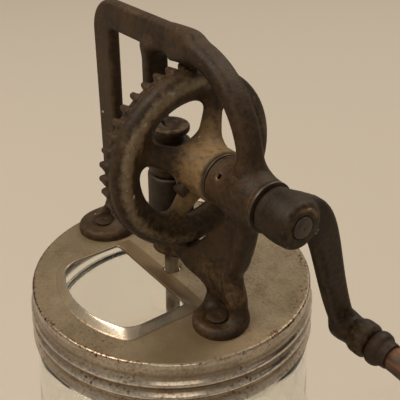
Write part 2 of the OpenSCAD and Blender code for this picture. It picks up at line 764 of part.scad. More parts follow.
module pinion_washer() {
    color(steel) translate([0, 0, lid_top + guide_top])
        ring(guide_r - 1, shaft_r + seat_gap, pinion_washer_t - end_play);
}

module dasher_shaft() {
    color(steel) difference() {
        union() {
            translate([0, 0, board_high + dasher_washer_t])
                cylinder(r = shaft_r, h = lid_top + shaft_top - board_high - dasher_washer_t);
            translate([0, 0, board_low - dasher_washer_t - nut_h - thread_end])
                cylinder(r = shaft_end_r, h = board_h + 2 * dasher_washer_t + nut_h + thread_end + fuse);
        }
        translate([0, 0, lid_top + pinion_low + pin_up]) rotate([90, 0, 0])
            cylinder(r = pin_r + seat_gap, h = 4 * shaft_r, center = true);
    }
}
board_high = board_low + board_h;

module dasher_washer() {
    color(steel) translate([0, 0, board_high])
        ring(dasher_washer_r, shaft_end_r + seat_gap, dasher_washer_t);
}

// A board on edge with two holes, and a slot over half its height for the other board
module paddle_board(slot_low) {
    difference() {
        translate([-board_len / 2, -board_t / 2, board_low]) cube([board_len, board_t, board_h]);
        translate([-board_t / 2 - seat_gap, -board_t, slot_low])
            cube([board_t + 2 * seat_gap, 2 * board_t, board_h / 2 + cut]);
        for (s = [-1, 1]) translate([s * board_len * 0.29, 0, board_low + board_h / 2])
            rotate([90, 0, 0]) cylinder(r = board_hole_r, h = 2 * board_t, center = true);
        translate([0, 0, board_low - cut])
            cylinder(r = shaft_end_r + seat_gap, h = board_h + 2 * cut);
    }
}
module paddle_board_a() {
    color(wood) paddle_board(board_low + board_h / 2 - seat_gap);
}
module paddle_board_b() {
    color(wood) rotate(90) paddle_board(board_low - cut + seat_gap);
}

module dasher_foot_washer() {
    color(steel) translate([0, 0, board_low - dasher_washer_t])
        ring(dasher_washer_r, shaft_end_r + seat_gap, dasher_washer_t);
}

module dasher_nut() {
    color(steel) translate([0, 0, board_low - dasher_washer_t - nut_h]) difference() {
        translate([-nut_w / 2, -nut_w / 2, 0]) cube([nut_w, nut_w, nut_h]);
        translate([0, 0, -cut]) cylinder(r = shaft_end_r + seat_gap, h = nut_h + 2 * cut);
    }
}

glass_jar();
screw_lid();
gear_frame();
foot_rivets();
rivet_washers();
pivot_screw();
drive_gear();
gear_axle();
gear_pin();
gear_washer();
crank_washer();
crank_arm();
handle_spindle();
spindle_washer();
handle_ferrule();
wooden_grip();
pinion();
pinion_pin();
pinion_washer();
dasher_shaft();
dasher_washer();
paddle_board_a();
paddle_board_b();
dasher_foot_washer();
dasher_nut();
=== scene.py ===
"""Glass jar butter churn with a cast iron gear drive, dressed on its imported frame.

Meshes are worked out in millimetres and put into Blender in metres.
"""
from functools import reduce

import bpy
import numpy as np
from mathutils import Matrix, Vector


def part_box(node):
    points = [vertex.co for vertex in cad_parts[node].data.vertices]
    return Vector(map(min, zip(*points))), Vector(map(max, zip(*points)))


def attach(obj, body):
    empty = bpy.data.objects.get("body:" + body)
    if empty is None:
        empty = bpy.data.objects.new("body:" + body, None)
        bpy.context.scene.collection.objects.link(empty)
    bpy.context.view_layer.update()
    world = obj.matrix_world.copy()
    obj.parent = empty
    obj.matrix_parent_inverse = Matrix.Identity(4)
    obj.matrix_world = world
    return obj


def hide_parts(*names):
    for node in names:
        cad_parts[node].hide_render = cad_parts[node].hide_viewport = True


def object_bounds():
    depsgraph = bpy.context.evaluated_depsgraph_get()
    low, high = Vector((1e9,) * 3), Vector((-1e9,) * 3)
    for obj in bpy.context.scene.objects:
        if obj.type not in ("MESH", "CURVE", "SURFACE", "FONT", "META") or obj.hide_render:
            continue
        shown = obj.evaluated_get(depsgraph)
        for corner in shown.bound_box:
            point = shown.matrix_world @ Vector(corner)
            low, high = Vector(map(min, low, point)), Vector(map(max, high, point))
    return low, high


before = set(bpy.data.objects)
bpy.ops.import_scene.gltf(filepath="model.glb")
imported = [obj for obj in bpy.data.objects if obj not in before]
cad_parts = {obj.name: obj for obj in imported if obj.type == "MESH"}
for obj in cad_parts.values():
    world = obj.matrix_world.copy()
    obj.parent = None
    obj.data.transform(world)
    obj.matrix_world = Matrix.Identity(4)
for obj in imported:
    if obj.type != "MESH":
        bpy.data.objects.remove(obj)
cad_low, cad_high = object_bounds()

# Glass jar
# The jar is pressed from clear glass in one piece: a square body with round corners, a long
# shoulder that swings in to a round neck, and two thread beads under a round lip.
MM = 0.001


def node_box(node):
    """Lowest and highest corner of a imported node, in mm."""
    low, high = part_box(node)
    return np.array(low) / MM, np.array(high) / MM


def weave(rows, ring):
    """Points and faces of a stack of closed rows. With ring the last row joins the first; without
    it a fan round each end row's mean point closes the ends. The faces are turned to point outwards."""
    count, around = rows.shape[:2]
    points = rows.reshape(-1, 3)
    row = np.arange(count if ring else count - 1)[:, None] * around
    far = (row + around) % (count * around)
    col = np.arange(around)
    nxt = (col + 1) % around
    quads = np.stack([row + col, row + nxt, far + nxt, far + col], -1).reshape(-1, 4)
    fans = np.zeros((0, 3), int)
    if not ring:
        first = len(points)
        points = np.vstack([points, rows[0].mean(0), rows[-1].mean(0)])
        top = (count - 1) * around
        fans = np.vstack([
            np.stack([np.full(around, first), nxt, col], -1),
            np.stack([np.full(around, first + 1), top + col, top + nxt], -1)])
    corners = np.vstack([quads[:, [0, 1, 2]], quads[:, [0, 2, 3]], fans])
    a, b, c = points[corners[:, 0]], points[corners[:, 1]], points[corners[:, 2]]
    if np.einsum("ij,ij->", a, np.cross(b, c)) < 0:
        quads, fans = quads[:, ::-1], fans[:, ::-1]
    return points, quads.tolist() + fans.tolist()


def add_piece(name, points, faces, body, slot, material, *nodes):
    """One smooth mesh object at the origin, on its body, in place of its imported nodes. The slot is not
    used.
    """
    mesh = bpy.data.meshes.new(name)
    mesh.from_pydata((points * MM).tolist(), [], faces)
    mesh.shade_smooth()
    mesh.materials.append(material)
    obj = bpy.data.objects.new(name, mesh)
    bpy.context.scene.collection.objects.link(obj)
    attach(obj, body)
    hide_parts(*nodes)
    return obj


def new_material(name):
    """A new node material, its tree and its Principled shader."""
    material = bpy.data.materials.new(name)
    material.use_nodes = True
    return material, material.node_tree, material.node_tree.nodes["Principled BSDF"]


def plug(socket, value):
    """Links a socket to the socket given as value, or sets a plain value on it."""
    if isinstance(value, bpy.types.NodeSocket):
        socket.id_data.links.new(value, socket)
    else:
        socket.default_value = value


def fill(node, **values):
    """Plugs values into a node's inputs by name; an underscore in a name stands for a space."""
    for label, value in values.items():
        plug(node.inputs[label.replace("_", " ")], value)
    return node


def add_node(tree, kind, **values):
    """A new shader node with its inputs filled."""
    return fill(tree.nodes.new("ShaderNode" + kind), **values)


def add_place(tree):
    """The place on the piece, in the piece's own coordinates, as a vector socket."""
    return add_node(tree, "TexCoord").outputs["Object"]


def add_noise(vector, scale, detail, rough=0.55):
    """A noise texture on the given vector socket, in that socket's tree; gives back its value socket."""
    tree = vector.id_data
    noise = add_node(tree, "TexNoise", Vector=vector, Scale=scale, Detail=detail, Roughness=rough)
    return noise.outputs["Fac"]


def add_bump(shader, height, strength, depth):
    """Bump of the given depth in mm, from a height socket to the shader's normal."""
    bump = add_node(shader.id_data, "Bump", Height=height, Strength=strength, Distance=depth * MM)
    fill(shader, Normal=bump.outputs["Normal"])


def soft_min(a, b, width):
    """The smaller of a and b, rounded off over width where they are about equal."""
    near = np.maximum(width - np.abs(a - b), 0) / width
    return np.minimum(a, b) - near * near * width / 4


def bell(value, middle, width):
    """A bell curve: 1 at the middle, falling off on both sides over the width."""
    return np.exp(-((value - middle) / width) ** 2)


def srgb(red, green, blue):
    """A colour picked from 0 to 255 as linear RGBA."""
    share = np.array([red, green, blue]) / 255
    linear = np.where(share <= 0.04045, share / 12.92, ((share + 0.055) / 1.055) ** 2.4)
    return (*linear.tolist(), 1.0)


jar_high = node_box("glass_jar")[1]
lid_low, lid_high = node_box("screw_lid")
jar_half, jar_mouth = jar_high[0], jar_high[2]
jar_wall, jar_base, jar_corner = 4.5, 9.0, 34.0
heel_in, heel_up, punt = 3.0, 4.0, 1.6
body_top = 122.0
collar_z, collar_out, collar_gap = 215.0, 4.0, 0.5
collar_up = lid_low[2] - collar_z - collar_gap
neck_r, lip_r = 57.0, jar_wall / 2
bead_out, bead_width = 1.5, 1.1
bead_z = jar_mouth - np.array([7.0, 14.0])
shoulder_slope, shoulder_blend = 0.2, 9.0
corner_reach = np.sqrt(2) * (jar_half - jar_corner) + jar_corner
jar_around = 224
jar_turn = np.linspace(0, 2 * np.pi, jar_around, endpoint=False)


def square_reach(turn, half, corner):
    """Distance from the middle to the edge of a round-cornered square in direction turn."""
    c, s = np.abs(np.cos(turn)), np.abs(np.sin(turn))
    flat = half - corner
    along = flat * (c + s)
    arc = along + np.sqrt(np.maximum(along ** 2 - 2 * flat ** 2 + corner ** 2, 0))
    side = half / np.maximum(c, s)
    return np.where(side * np.minimum(c, s) <= flat, side, arc)


def shoulder_reach(t):
    """Radius of the shoulder at the share t of its height below the collar: in part a straight slope,
    for the rest a cosine swing of t cubed, which turns outwards late."""
    swing = shoulder_slope * t + (1 - shoulder_slope) / 2 * (1 - np.cos(np.pi * t ** 3))
    return neck_r + collar_out + (corner_reach + jar_wall - neck_r - collar_out) * swing


def jar_rows(half, corner, reach, height):
    """Rows of the jar: in each direction the smaller of the square's reach and the round reach."""
    half, corner, reach = (np.broadcast_to(v, height.shape)[:, None] for v in (half, corner, reach))
    r = soft_min(square_reach(jar_turn[None], half, corner), reach, shoulder_blend)
    z = np.broadcast_to(height[:, None], r.shape)
    return np.stack([r * np.cos(jar_turn), r * np.sin(jar_turn), z], -1)


# The rows run from the middle of the underside round the heel, up the body and the shoulder, over
# collar, beads and lip, and down the inside to the middle of its floor.
share = np.linspace(0.06, 1, 7)[:-1]
quarter = np.linspace(0, np.pi / 2, 7)
down = np.linspace(1, 0, 40)
climb = np.linspace(collar_z + collar_up, jar_mouth - lip_r, 40)[1:]
beads = bead_out * bell(climb[:, None], bead_z, bead_width).sum(1)
around_lip = np.linspace(0, np.pi, 9)[1:]
inner_half, inner_corner = jar_half - jar_wall, jar_corner - jar_wall
inner_heel = jar_wall * (1 - np.cos(quarter))
wide = corner_reach + 4 * jar_wall
foot = jar_half - heel_in
jar_skin = np.vstack([
    jar_rows(foot * share, (jar_corner - heel_in) * share, wide, punt * (1 - share ** 2)),
    jar_rows(foot + heel_in * np.sin(quarter), jar_corner - heel_in + heel_in * np.sin(quarter), wide,
             heel_up * (1 - np.cos(quarter))),
    jar_rows(jar_half, jar_corner, wide, np.linspace(heel_up, body_top, 9)[1:-1]),
    jar_rows(jar_half, jar_corner, shoulder_reach(down), collar_z - (collar_z - body_top) * down),
    jar_rows(jar_half, jar_corner, neck_r + collar_out * np.cos(quarter[1:]),
             collar_z + collar_up * np.sin(quarter[1:])),
    jar_rows(jar_half, jar_corner, neck_r + beads, climb),
    jar_rows(jar_half, jar_corner, neck_r - lip_r + lip_r * np.cos(around_lip),
             jar_mouth - lip_r + lip_r * np.sin(around_lip)),
    jar_rows(inner_half, inner_corner, neck_r - jar_wall,
             np.linspace(jar_mouth - 2 * lip_r, collar_z + collar_out, 5)),
    jar_rows(inner_half, inner_corner, neck_r + collar_out * np.cos(quarter[-2::-1]) - jar_wall,
             collar_z + collar_out * np.sin(quarter[-2::-1])),
    jar_rows(inner_half, inner_corner, shoulder_reach(down[-2::-1]) - jar_wall,
             collar_z - (collar_z - body_top) * down[-2::-1]),
    jar_rows(inner_half, inner_corner, wide, np.linspace(body_top, jar_base + jar_wall, 9)[1:-1]),
    jar_rows(inner_half - inner_heel, inner_corner - inner_heel, wide,
             jar_base + jar_wall * (1 - np.sin(quarter))),
    jar_rows((inner_half - jar_wall) * share[::-1], (inner_corner - jar_wall) * share[::-1], wide,
             jar_base + punt * (1 - share[::-1] ** 2)),
])

# The glass ripples a little, and it lets light through to what stands behind and under it.
clear_glass, tree, shader = new_material("clear_glass")
fill(shader, Base_Color=srgb(247, 248, 245), Roughness=0.03, IOR=1.5, Transmission_Weight=1.0)
add_bump(shader, add_noise(add_place(tree), 38.0, 1.0, 0.5), 0.25, 1.2)
ray = add_node(tree, "LightPath")
let_light = add_node(tree, "BsdfTransparent", Color=(0.92, 0.93, 0.91, 1.0))
mix_light = add_node(tree, "MixShader", Fac=ray.outputs["Is Shadow Ray"])
plug(mix_light.inputs[1], shader.outputs["BSDF"])
plug(mix_light.inputs[2], let_light.outputs["BSDF"])
fill(tree.nodes["Material Output"], Surface=mix_light.outputs["Shader"])

add_piece("jar_of_glass", *weave(jar_skin, False), "jar", "clear_glass", clear_glass, "glass_jar")

# Screw lid
# The lid is drawn from one sheet of tinned steel. A D-shaped pouring opening is punched beside the
# dasher shaft and its edge is pressed up to a sloping lip; the skirt has two rolled thread ridges
# and a flared edge.
sheet_t = 1.0
lid_top = node_box("gear_frame")[0][2]
lid_edge, edge_round = 60.0, 1.1
skirt_h = lid_top - lid_low[2]
lip_rise = lid_high[2] - lid_top
lip_run, lip_back = 3.4, 6.8
lip_over, lip_edge_ease, lip_foot_ease = 1.04, 0.7, 0.35
open_half, open_back, open_arc = 26.3, -11.5, 46.2
open_heart = np.array([0.0, -27.0])
edge_corner, foot_corner, arc_corner = 4.5, 1.5, 2.0
shaft_hole = 3.6
ridge_at = np.array([0.42, 0.67])
ridge_out, ridge_width = np.array([1.45, 1.75]), 0.075
flare_out, flare_from, flare_run = 2.0, 0.78, 0.22
flat_within = 0.1
rivet_low, rivet_high = node_box("foot_rivets")
rivet_r, pad_y = 4.0, -6.0
left_rivet, front_rivet = rivet_low[0] + rivet_r, rivet_high[0] - rivet_r
lid_around = 400
lid_turn = np.linspace(0, 2 * np.pi, lid_around, endpoint=False)
lid_ray = np.stack([np.cos(lid_turn), np.sin(lid_turn)], -1)


def circle_reach(radius):
    """Reach from the opening's heart, along each ray, to a circle about the dasher."""
    lean = lid_ray @ open_heart
    return -lean + np.sqrt(lean ** 2 - open_heart @ open_heart + radius ** 2)


def opening_reach(p):
    """Reach of the D from its heart along each ray: at p = 0 the lip's edge, at p = 1 its foot, which
    lies further out by the lip's run, and further still on the straight side."""
    far, tiny = 1e3, 1e-6
    c, s = lid_ray.T
    side = (open_half + lip_run * p) / np.maximum(np.abs(c), tiny)
    straight = np.where(s > tiny, (open_back + lip_back * p - open_heart[1]) / np.maximum(s, tiny), far)
    corner = edge_corner + (foot_corner - edge_corner) * p
    arc = circle_reach(open_arc + lip_run * p)
    return soft_min(soft_min(side, straight, corner), arc, corner + arc_corner)


def lid_ring(reach, height):
    """One row of the lid round the opening's heart at the given reach and height above the lid's top."""
    flat = open_heart + lid_ray * np.broadcast_to(reach, lid_turn.shape)[:, None]
    return np.column_stack([flat, np.full(len(flat), lid_top + height)])


def lip_height(p):
    """Height of the lip at the share p of its run: a straight slope, rounded at its edge and foot."""
    slope = soft_min(lip_rise * (lip_over - lip_over * p), lip_rise + 0 * p, lip_edge_ease)
    return -soft_min(-slope, 0 * p, lip_foot_ease)


def ramp(value, start, run):
    """A ramp from 0 at start to 1 a run further on; with a negative run it rises towards lower values."""
    return np.clip((value - start) / run, 0, 1)


press = np.array([0, 0.02, 0.05, 0.09, 0.15, 0.25, 0.4, 0.55, 0.7, 0.8, 0.87, 0.93, 1, 1.08, 1.18])
lip_rows = [lid_ring(opening_reach(p), lip_height(p)) for p in press]
foot_row = lid_ring(opening_reach(press[-1]), 0)
rim_start = lid_ring(circle_reach(lid_edge - edge_round), 0)
top_share = np.linspace(0, 1, 41)[1:]
top_rows = [(1 - s) * foot_row + s * rim_start for s in top_share]
bend = np.linspace(0, np.pi / 2, 6)[1:]
bend_rows = [
    lid_ring(circle_reach(lid_edge - edge_round + edge_round * np.sin(a)), edge_round * (np.cos(a) - 1))
    for a in bend]
skirt_share = np.linspace(edge_round / skirt_h, 1, 48)[1:]
ridges = (ridge_out * bell(skirt_share[:, None], ridge_at, ridge_width)).sum(1)
flare = flare_out * ramp(skirt_share, flare_from, flare_run) ** 1.5
skirt_rows = [
    lid_ring(circle_reach(lid_edge + out), -skirt_h * s) for s, out in zip(skirt_share, ridges + flare)]
lid_skin = np.stack([*lip_rows, *top_rows, *bend_rows, *skirt_rows])


def punch(points, faces, radius):
    """Opens a round hole in the lid's flat top about the dasher: faces whose middle lies in it go, and
    the corners that they shared with the faces that stay slide onto its edge."""
    dist = np.hypot(points[:, 0], points[:, 1])
    gone = dist[faces].mean(1) < radius
    gone &= np.abs(points[faces, 2].mean(1) - lid_top) < flat_within
    edge = np.intersect1d(faces[gone], faces[~gone])
    points = points.copy()
    points[edge, :2] *= (radius / dist[edge])[:, None]
    used, index = np.unique(faces[~gone], return_inverse=True)
    return points[used], index.reshape(-1, 4), used


lid_row = np.arange(len(lid_skin) - 1)[:, None] * lid_around
lid_col = np.arange(lid_around)
lid_next = (lid_col + 1) % lid_around
lid_faces = np.stack([
    lid_row + lid_col, lid_row + lid_around + lid_col, lid_row + lid_around + lid_next, lid_row + lid_next],
    -1).reshape(-1, 4)
points, faces, used = punch(lid_skin.reshape(-1, 3), lid_faces, shaft_hole)


def new_group(name, inputs, outputs):
    """An empty shader group with its named sockets: an input is a (name, kind, value) triple, and an
    output is a (name, kind) pair. Gives back the group, its input node and its output node."""
    group = bpy.data.node_groups.new(name, "ShaderNodeTree")
    for label, kind, value in inputs:
        socket = group.interface.new_socket(label, in_out="INPUT", socket_type="NodeSocket" + kind)
        socket.default_value = value
    for label, kind in outputs:
        group.interface.new_socket(label, in_out="OUTPUT", socket_type="NodeSocket" + kind)
    return group, group.nodes.new("NodeGroupInput"), group.nodes.new("NodeGroupOutput")


def use_group(tree, group, **values):
    """A group's node with its inputs filled."""
    node = add_node(tree, "Group")
    node.node_tree = group
    return fill(node, **values)


def wire(sockets, *values):
    """Plugs values into a row of sockets in their order."""
    for socket, value in zip(sockets, values):
        plug(socket, value)


def add_step(value, low, high, to_low=0.0, to_high=1.0):
    """A soft step: value from low to high becomes to_low to to_high, smoothed at both ends."""
    node = add_node(value.id_data, "MapRange")
    node.interpolation_type = "SMOOTHSTEP"
    wire(node.inputs, value, low, high, to_low, to_high)
    return node.outputs["Result"]


def add_math(kind, first, *others):
    """A Math node on a socket and further sockets or numbers."""
    node = add_node(first.id_data, "Math")
    node.operation = kind
    wire(node.inputs, first, *others)
    return node.outputs["Value"]


def add_sum(*terms, plus=0.0):
    """A weighted sum: each term is a (socket, weight) pair, and plus is added to it."""
    total = plus
    for socket, weight in terms:
        total = add_math("MULTIPLY_ADD", socket, weight, total)
    return total


def add_stretch(vector, scale):
    """The vector times scale, axis by axis; a small share draws a pattern out along that axis."""
    node = add_node(vector.id_data, "VectorMath")
    node.operation = "MULTIPLY"
    wire(node.inputs, vector, scale)
    return node.outputs["Vector"]


def add_mix(share, a, b):
    """A colour mix from a to b by a share's socket; a and b are sockets or linear colours."""
    node = add_node(share.id_data, "Mix")
    node.data_type = "RGBA"
    wire((node.inputs["Factor"], node.inputs[6], node.inputs[7]), share, a, b)
    return node.outputs[2]


def set_share(obj, name, share):
    """Keeps a share for each point, such as how worn it is, as an attribute that the material reads."""
    layer = obj.data.attributes.new(name, "FLOAT", "POINT")
    layer.data.foreach_set("value", np.asarray(share, np.float32).ravel())


def read_share(tree, name):
    """One of the piece's own attributes as a value socket."""
    node = add_node(tree, "Attribute")
    node.attribute_name = name
    return node.outputs["Fac"]


# Rust specks: small pits where a fine noise is high, drawn together by a broad noise and the amount.
rust_specks, ends_in, ends_out = new_group(
    "rust_specks",
    [("Size", "Float", 700.0), ("Amount", "Float", 0.5)],
    [("Mask", "Float"), ("Stain", "Float")])
where = add_place(rust_specks)
fine = add_noise(where, ends_in.outputs["Size"], 3.0, 0.62)
broad = add_noise(where, 70.0, 3.0)
lifted = add_sum((fine, 1.0), (broad, 0.5), (ends_in.outputs["Amount"], 0.26))
fill(ends_out, Mask=add_step(lifted, 1.0, 1.08), Stain=add_step(lifted, 0.72, 1.0))

# Tinned sheet: cloudy and smeared tin, bright where it is worn and where the worn share carries a
# painted highlight and sheen, with painted reflection streaks down the skirt, stained and pitted by
# rust, and dull under grime and where its creases are darkened.
tin_pale, tin_dull, tin_smear = srgb(154, 140, 117), srgb(131, 118, 95), srgb(110, 96, 77)
tin_bright_and_highlight, tin_reflection_streak = srgb(224, 216, 206), srgb(104, 91, 75)
rust_stain, rust_pit, grease_and_dark_tone = srgb(96, 74, 54), srgb(76, 47, 31), srgb(92, 74, 49)
tinned_sheet, tree, shader = new_material("tinned_sheet")
where = add_place(tree)
cloud = add_noise(where, 26.0, 4.0, 0.6)
smear = add_noise(where, 120.0, 5.0, 0.62)
tone = add_mix(add_step(cloud, 0.35, 0.66), tin_pale, tin_dull)
tone = add_mix(add_step(smear, 0.42, 0.72, 0.0, 0.5), tone, tin_smear)
# The worn share also carries a painted highlight and sheen, so this bright tin is partly a painted
# highlight.
rub_and_highlight = add_sum((read_share(tree, "worn"), 1.0), (smear, 0.3), plus=-0.15)
bright = add_step(rub_and_highlight, 0.2, 1.1)
tone = add_mix(bright, tone, tin_bright_and_highlight)
# Painted reflection: darker streaks drawn down the skirt stand in for its smeared reflections.
streak = add_noise(add_stretch(where, (1.0, 1.0, 0.2)), 34.0, 2.0, 0.5)
streak = add_step(streak, 0.38, 0.66, 0.0, 0.45)
streak = add_math("MULTIPLY", streak, read_share(tree, "reflection_streaked"))
tone = add_mix(streak, tone, tin_reflection_streak)
specks = use_group(tree, rust_specks, Size=760.0, Amount=read_share(tree, "rust"))
stain = specks.outputs["Stain"]
tone = add_mix(add_math("MULTIPLY", stain, 0.45), tone, rust_stain)
tone = add_mix(specks.outputs["Mask"], tone, rust_pit)
# Dirt and the darkening of creases share one dark tone.
grime_and_darkening = read_share(tree, "dirt_and_darkening")
tone = add_mix(grime_and_darkening, tone, grease_and_dark_tone)
gloss = add_sum((bright, 1.0), (stain, -0.15), (grime_and_darkening, -0.35))
fill(shader, Base_Color=tone, Roughness=add_step(gloss, -0.5, 0.6, 0.55, 0.2),
     Metallic=add_step(gloss, -0.6, 0.5, 0.3, 0.95))
add_bump(shader, add_math("ADD", smear, cloud), 0.1, 0.5)

lid = add_piece("lid_of_tin", points, faces.tolist(), "lid", "tinned_sheet", tinned_sheet, "screw_lid")
wall = lid.modifiers.new("sheet", "SOLIDIFY")
wall.thickness = sheet_t * MM
wall.offset = -1.0


def from_spots(*spots):
    """Distance of each point of the lid, seen from above, to the nearest of the spots."""
    away = lid_skin[:, :, None, :2] - np.array(spots)
    return np.hypot(away[..., 0], away[..., 1]).min(-1)


# Wear and painted highlight, row by row: the lip is worn, most of all at its edge, and the bend, the
# ridges and the flare are worn bare. The skirt's brightness, most of all on its ridges, is partly a
# painted sheen, and a painted highlight brightens the lip on its front right.
wear_and_sheen_rows = np.concatenate([
    0.3 + 0.15 * bell(press, 0.08, 0.16) - 0.35 * ramp(press, 1, 0.18),
    0.2 * ramp(top_share, 0.96, 0.04),
    [0.35, 0.55, 0.6, 0.6, 0.6],
    0.55 + 0.6 * ramp(ridges, 0, 1.6) ** 2 + 0.25 * ramp(flare, 0, flare_out)])
# Painted highlight on the lip's front right slope.
lip_highlight_side = ramp(lid_ray @ [0.8, -0.6], 0.3, 0.4)
lid_wear_and_highlight = np.repeat(wear_and_sheen_rows[:, None], lid_around, 1)
lid_wear_and_highlight[:len(press)] += 0.2 * lip_highlight_side
set_share(lid, "worn", lid_wear_and_highlight.ravel()[used])

# Rust, row by row: it sits at the lip's foot, the rim and between the ridges, and it is worst at the
# rim and the upper skirt on the left.
rust_rows = np.concatenate([
    0.1 + 0.3 * (press > 0.9),
    0.22 + 0.6 * ramp(top_share, 0.85, 0.15) ** 2,
    [0.9, 0.9, 0.8, 0.65, 0.5],
    0.3 + 0.4 * bell(skirt_share, 0.55, 0.07) + 0.4 * bell(skirt_share, 0.83, 0.05)])
rusty_rows = np.concatenate([0 * press, 0 * top_share, 0 * bend + 1, bell(skirt_share, 0.3, 0.16)])
rusty_side = ramp(lid_ray @ [-0.75, -0.66], 0.75, 0.2)
lid_rust = rust_rows[:, None] + 0.45 * rusty_rows[:, None] * rusty_side
set_share(lid, "rust", lid_rust.ravel()[used])

# Dirt on the lip's straight side and in front of the front foot. The lip's foot, the skirt's grooves
# and a ring round each foot are darkened. Painted reflection streaks run down the skirt only.
groove_at = np.array([0.26, 0.545, 0.84])
# The lip's foot and the skirt's grooves are darkened.
darkened_rows = np.concatenate([
    0.7 * bell(press, 1.02, 0.1), 0 * top_share, 0 * bend,
    0.6 * bell(skirt_share[:, None], groove_at, 0.045).sum(1)])
front_spot, front_spread = (44.0, -29.0), 16.0
foot_ring_r, foot_ring_width = 11.5, 4.0
foot_dirt_and_darkening = bell(from_spots(front_spot), 0, front_spread)
# A darkened ring round each foot.
foot_dirt_and_darkening += 0.6 * bell(from_spots((left_rivet, pad_y), (front_rivet, pad_y)), foot_ring_r, foot_ring_width)
foot_dirt_and_darkening *= np.abs(lid_skin[:, :, 2] - lid_top) < flat_within
straight_side = ramp(lid_ray[:, 1], 0.45, 0.25)
lid_dirt_and_darkening = darkened_rows[:, None] + 0.75 * foot_dirt_and_darkening
lid_dirt_and_darkening[:len(press)] += 1.3 * straight_side
set_share(lid, "dirt_and_darkening", lid_dirt_and_darkening.ravel()[used])
set_share(lid, "reflection_streaked", (lid_skin[:, :, 2] < lid_top - 2 * edge_round).ravel()[used])

# Gear frame
# The frame is one iron casting: a left leg and a flat top bar, an arch that runs down to the axle
# boss, a broad front leg, a strut with the pivot lug and an arm with the shaft guide. Its two round
# feet are riveted to the lid. It is dark brown with age and bare on the edges that hands touch.


def eased(ease, *sides):
    """Distance outside a form from the distances outside its sides, with its edges rounded by ease."""
    sides = [side + ease for side in sides]
    out = np.sqrt(sum(np.maximum(side, 0) ** 2 for side in sides))
    return out + np.minimum(reduce(np.maximum, sides), 0) - ease


def span_field(value, start, end):
    """Distance outside the stretch from start to end."""
    return np.abs(value - (start + end) / 2) - (end - start) / 2


def box_field(x, y, z, low, high, ease):
    """Distance outside a box whose edges are rounded by ease."""
    return eased(ease, *(span_field(v, a, b) for v, a, b in zip((x, y, z), low, high)))


def rod_field(along, across, start, end, radius, ease):
    """Distance outside a rod from start to end, with across measured from its middle line."""
    return eased(ease, span_field(along, start, end), across - radius)


def plate_field(flat, across, half, ease):
    """Distance outside a plate whose outline is flat and whose half thickness is half."""
    return eased(ease, flat, np.abs(across) - half)


def flat_box(x, z, low, high, corner):
    """Distance outside a rectangle with round corners."""
    return eased(corner, span_field(x, low[0], high[0]), span_field(z, low[1], high[1]))


def side_reach(x, z, start, end):
    """Distance to the straight side from start to end, and the share of it at the nearest point."""
    (ax, az), (bx, bz) = start, end
    ex, ez = bx - ax, bz - az
    share = np.clip(((x - ax) * ex + (z - az) * ez) / (ex * ex + ez * ez), 0, 1)
    return np.hypot(x - ax - share * ex, z - az - share * ez), share


def path_reach(x, z, path):
    """Least distance to an open path of straight sides."""
    return reduce(np.minimum, (side_reach(x, z, a, b)[0] for a, b in zip(path[:-1], path[1:])))


def outline_field(x, z, corners):
    """Distance outside a closed outline: the least distance to its sides, negative within, where a
    line to the right crosses an odd number of sides."""
    sign = 1.0
    for (ax, az), (bx, bz) in zip(corners, np.roll(corners, -1, axis=0)):
        crosses = ((az > z) != (bz > z)) & (x < ax + (bx - ax) * (z - az) / ((bz - az) or 1e-9))
        sign = np.where(crosses, -sign, sign)
    return sign * path_reach(x, z, np.vstack([corners, corners[:1]]))


def round_corners(corners, times):
    """Cuts each corner of an outline at a quarter of its sides, times over, so it runs smooth."""
    for _ in range(times):
        ahead = np.roll(corners, -1, axis=0)
        corners = np.stack([0.75 * corners + 0.25 * ahead, 0.25 * corners + 0.75 * ahead], 1).reshape(-1, 2)
    return corners


def carve(body, hole, width):
    """Takes the hole out of the body with an edge rounded over width."""
    return -soft_min(-body, hole, width)


def drill(body, along, across, span, radius, ease=0):
    """Takes a round bore out of the body, over the span along it."""
    return np.maximum(body, -rod_field(along, across, *span, radius, ease))


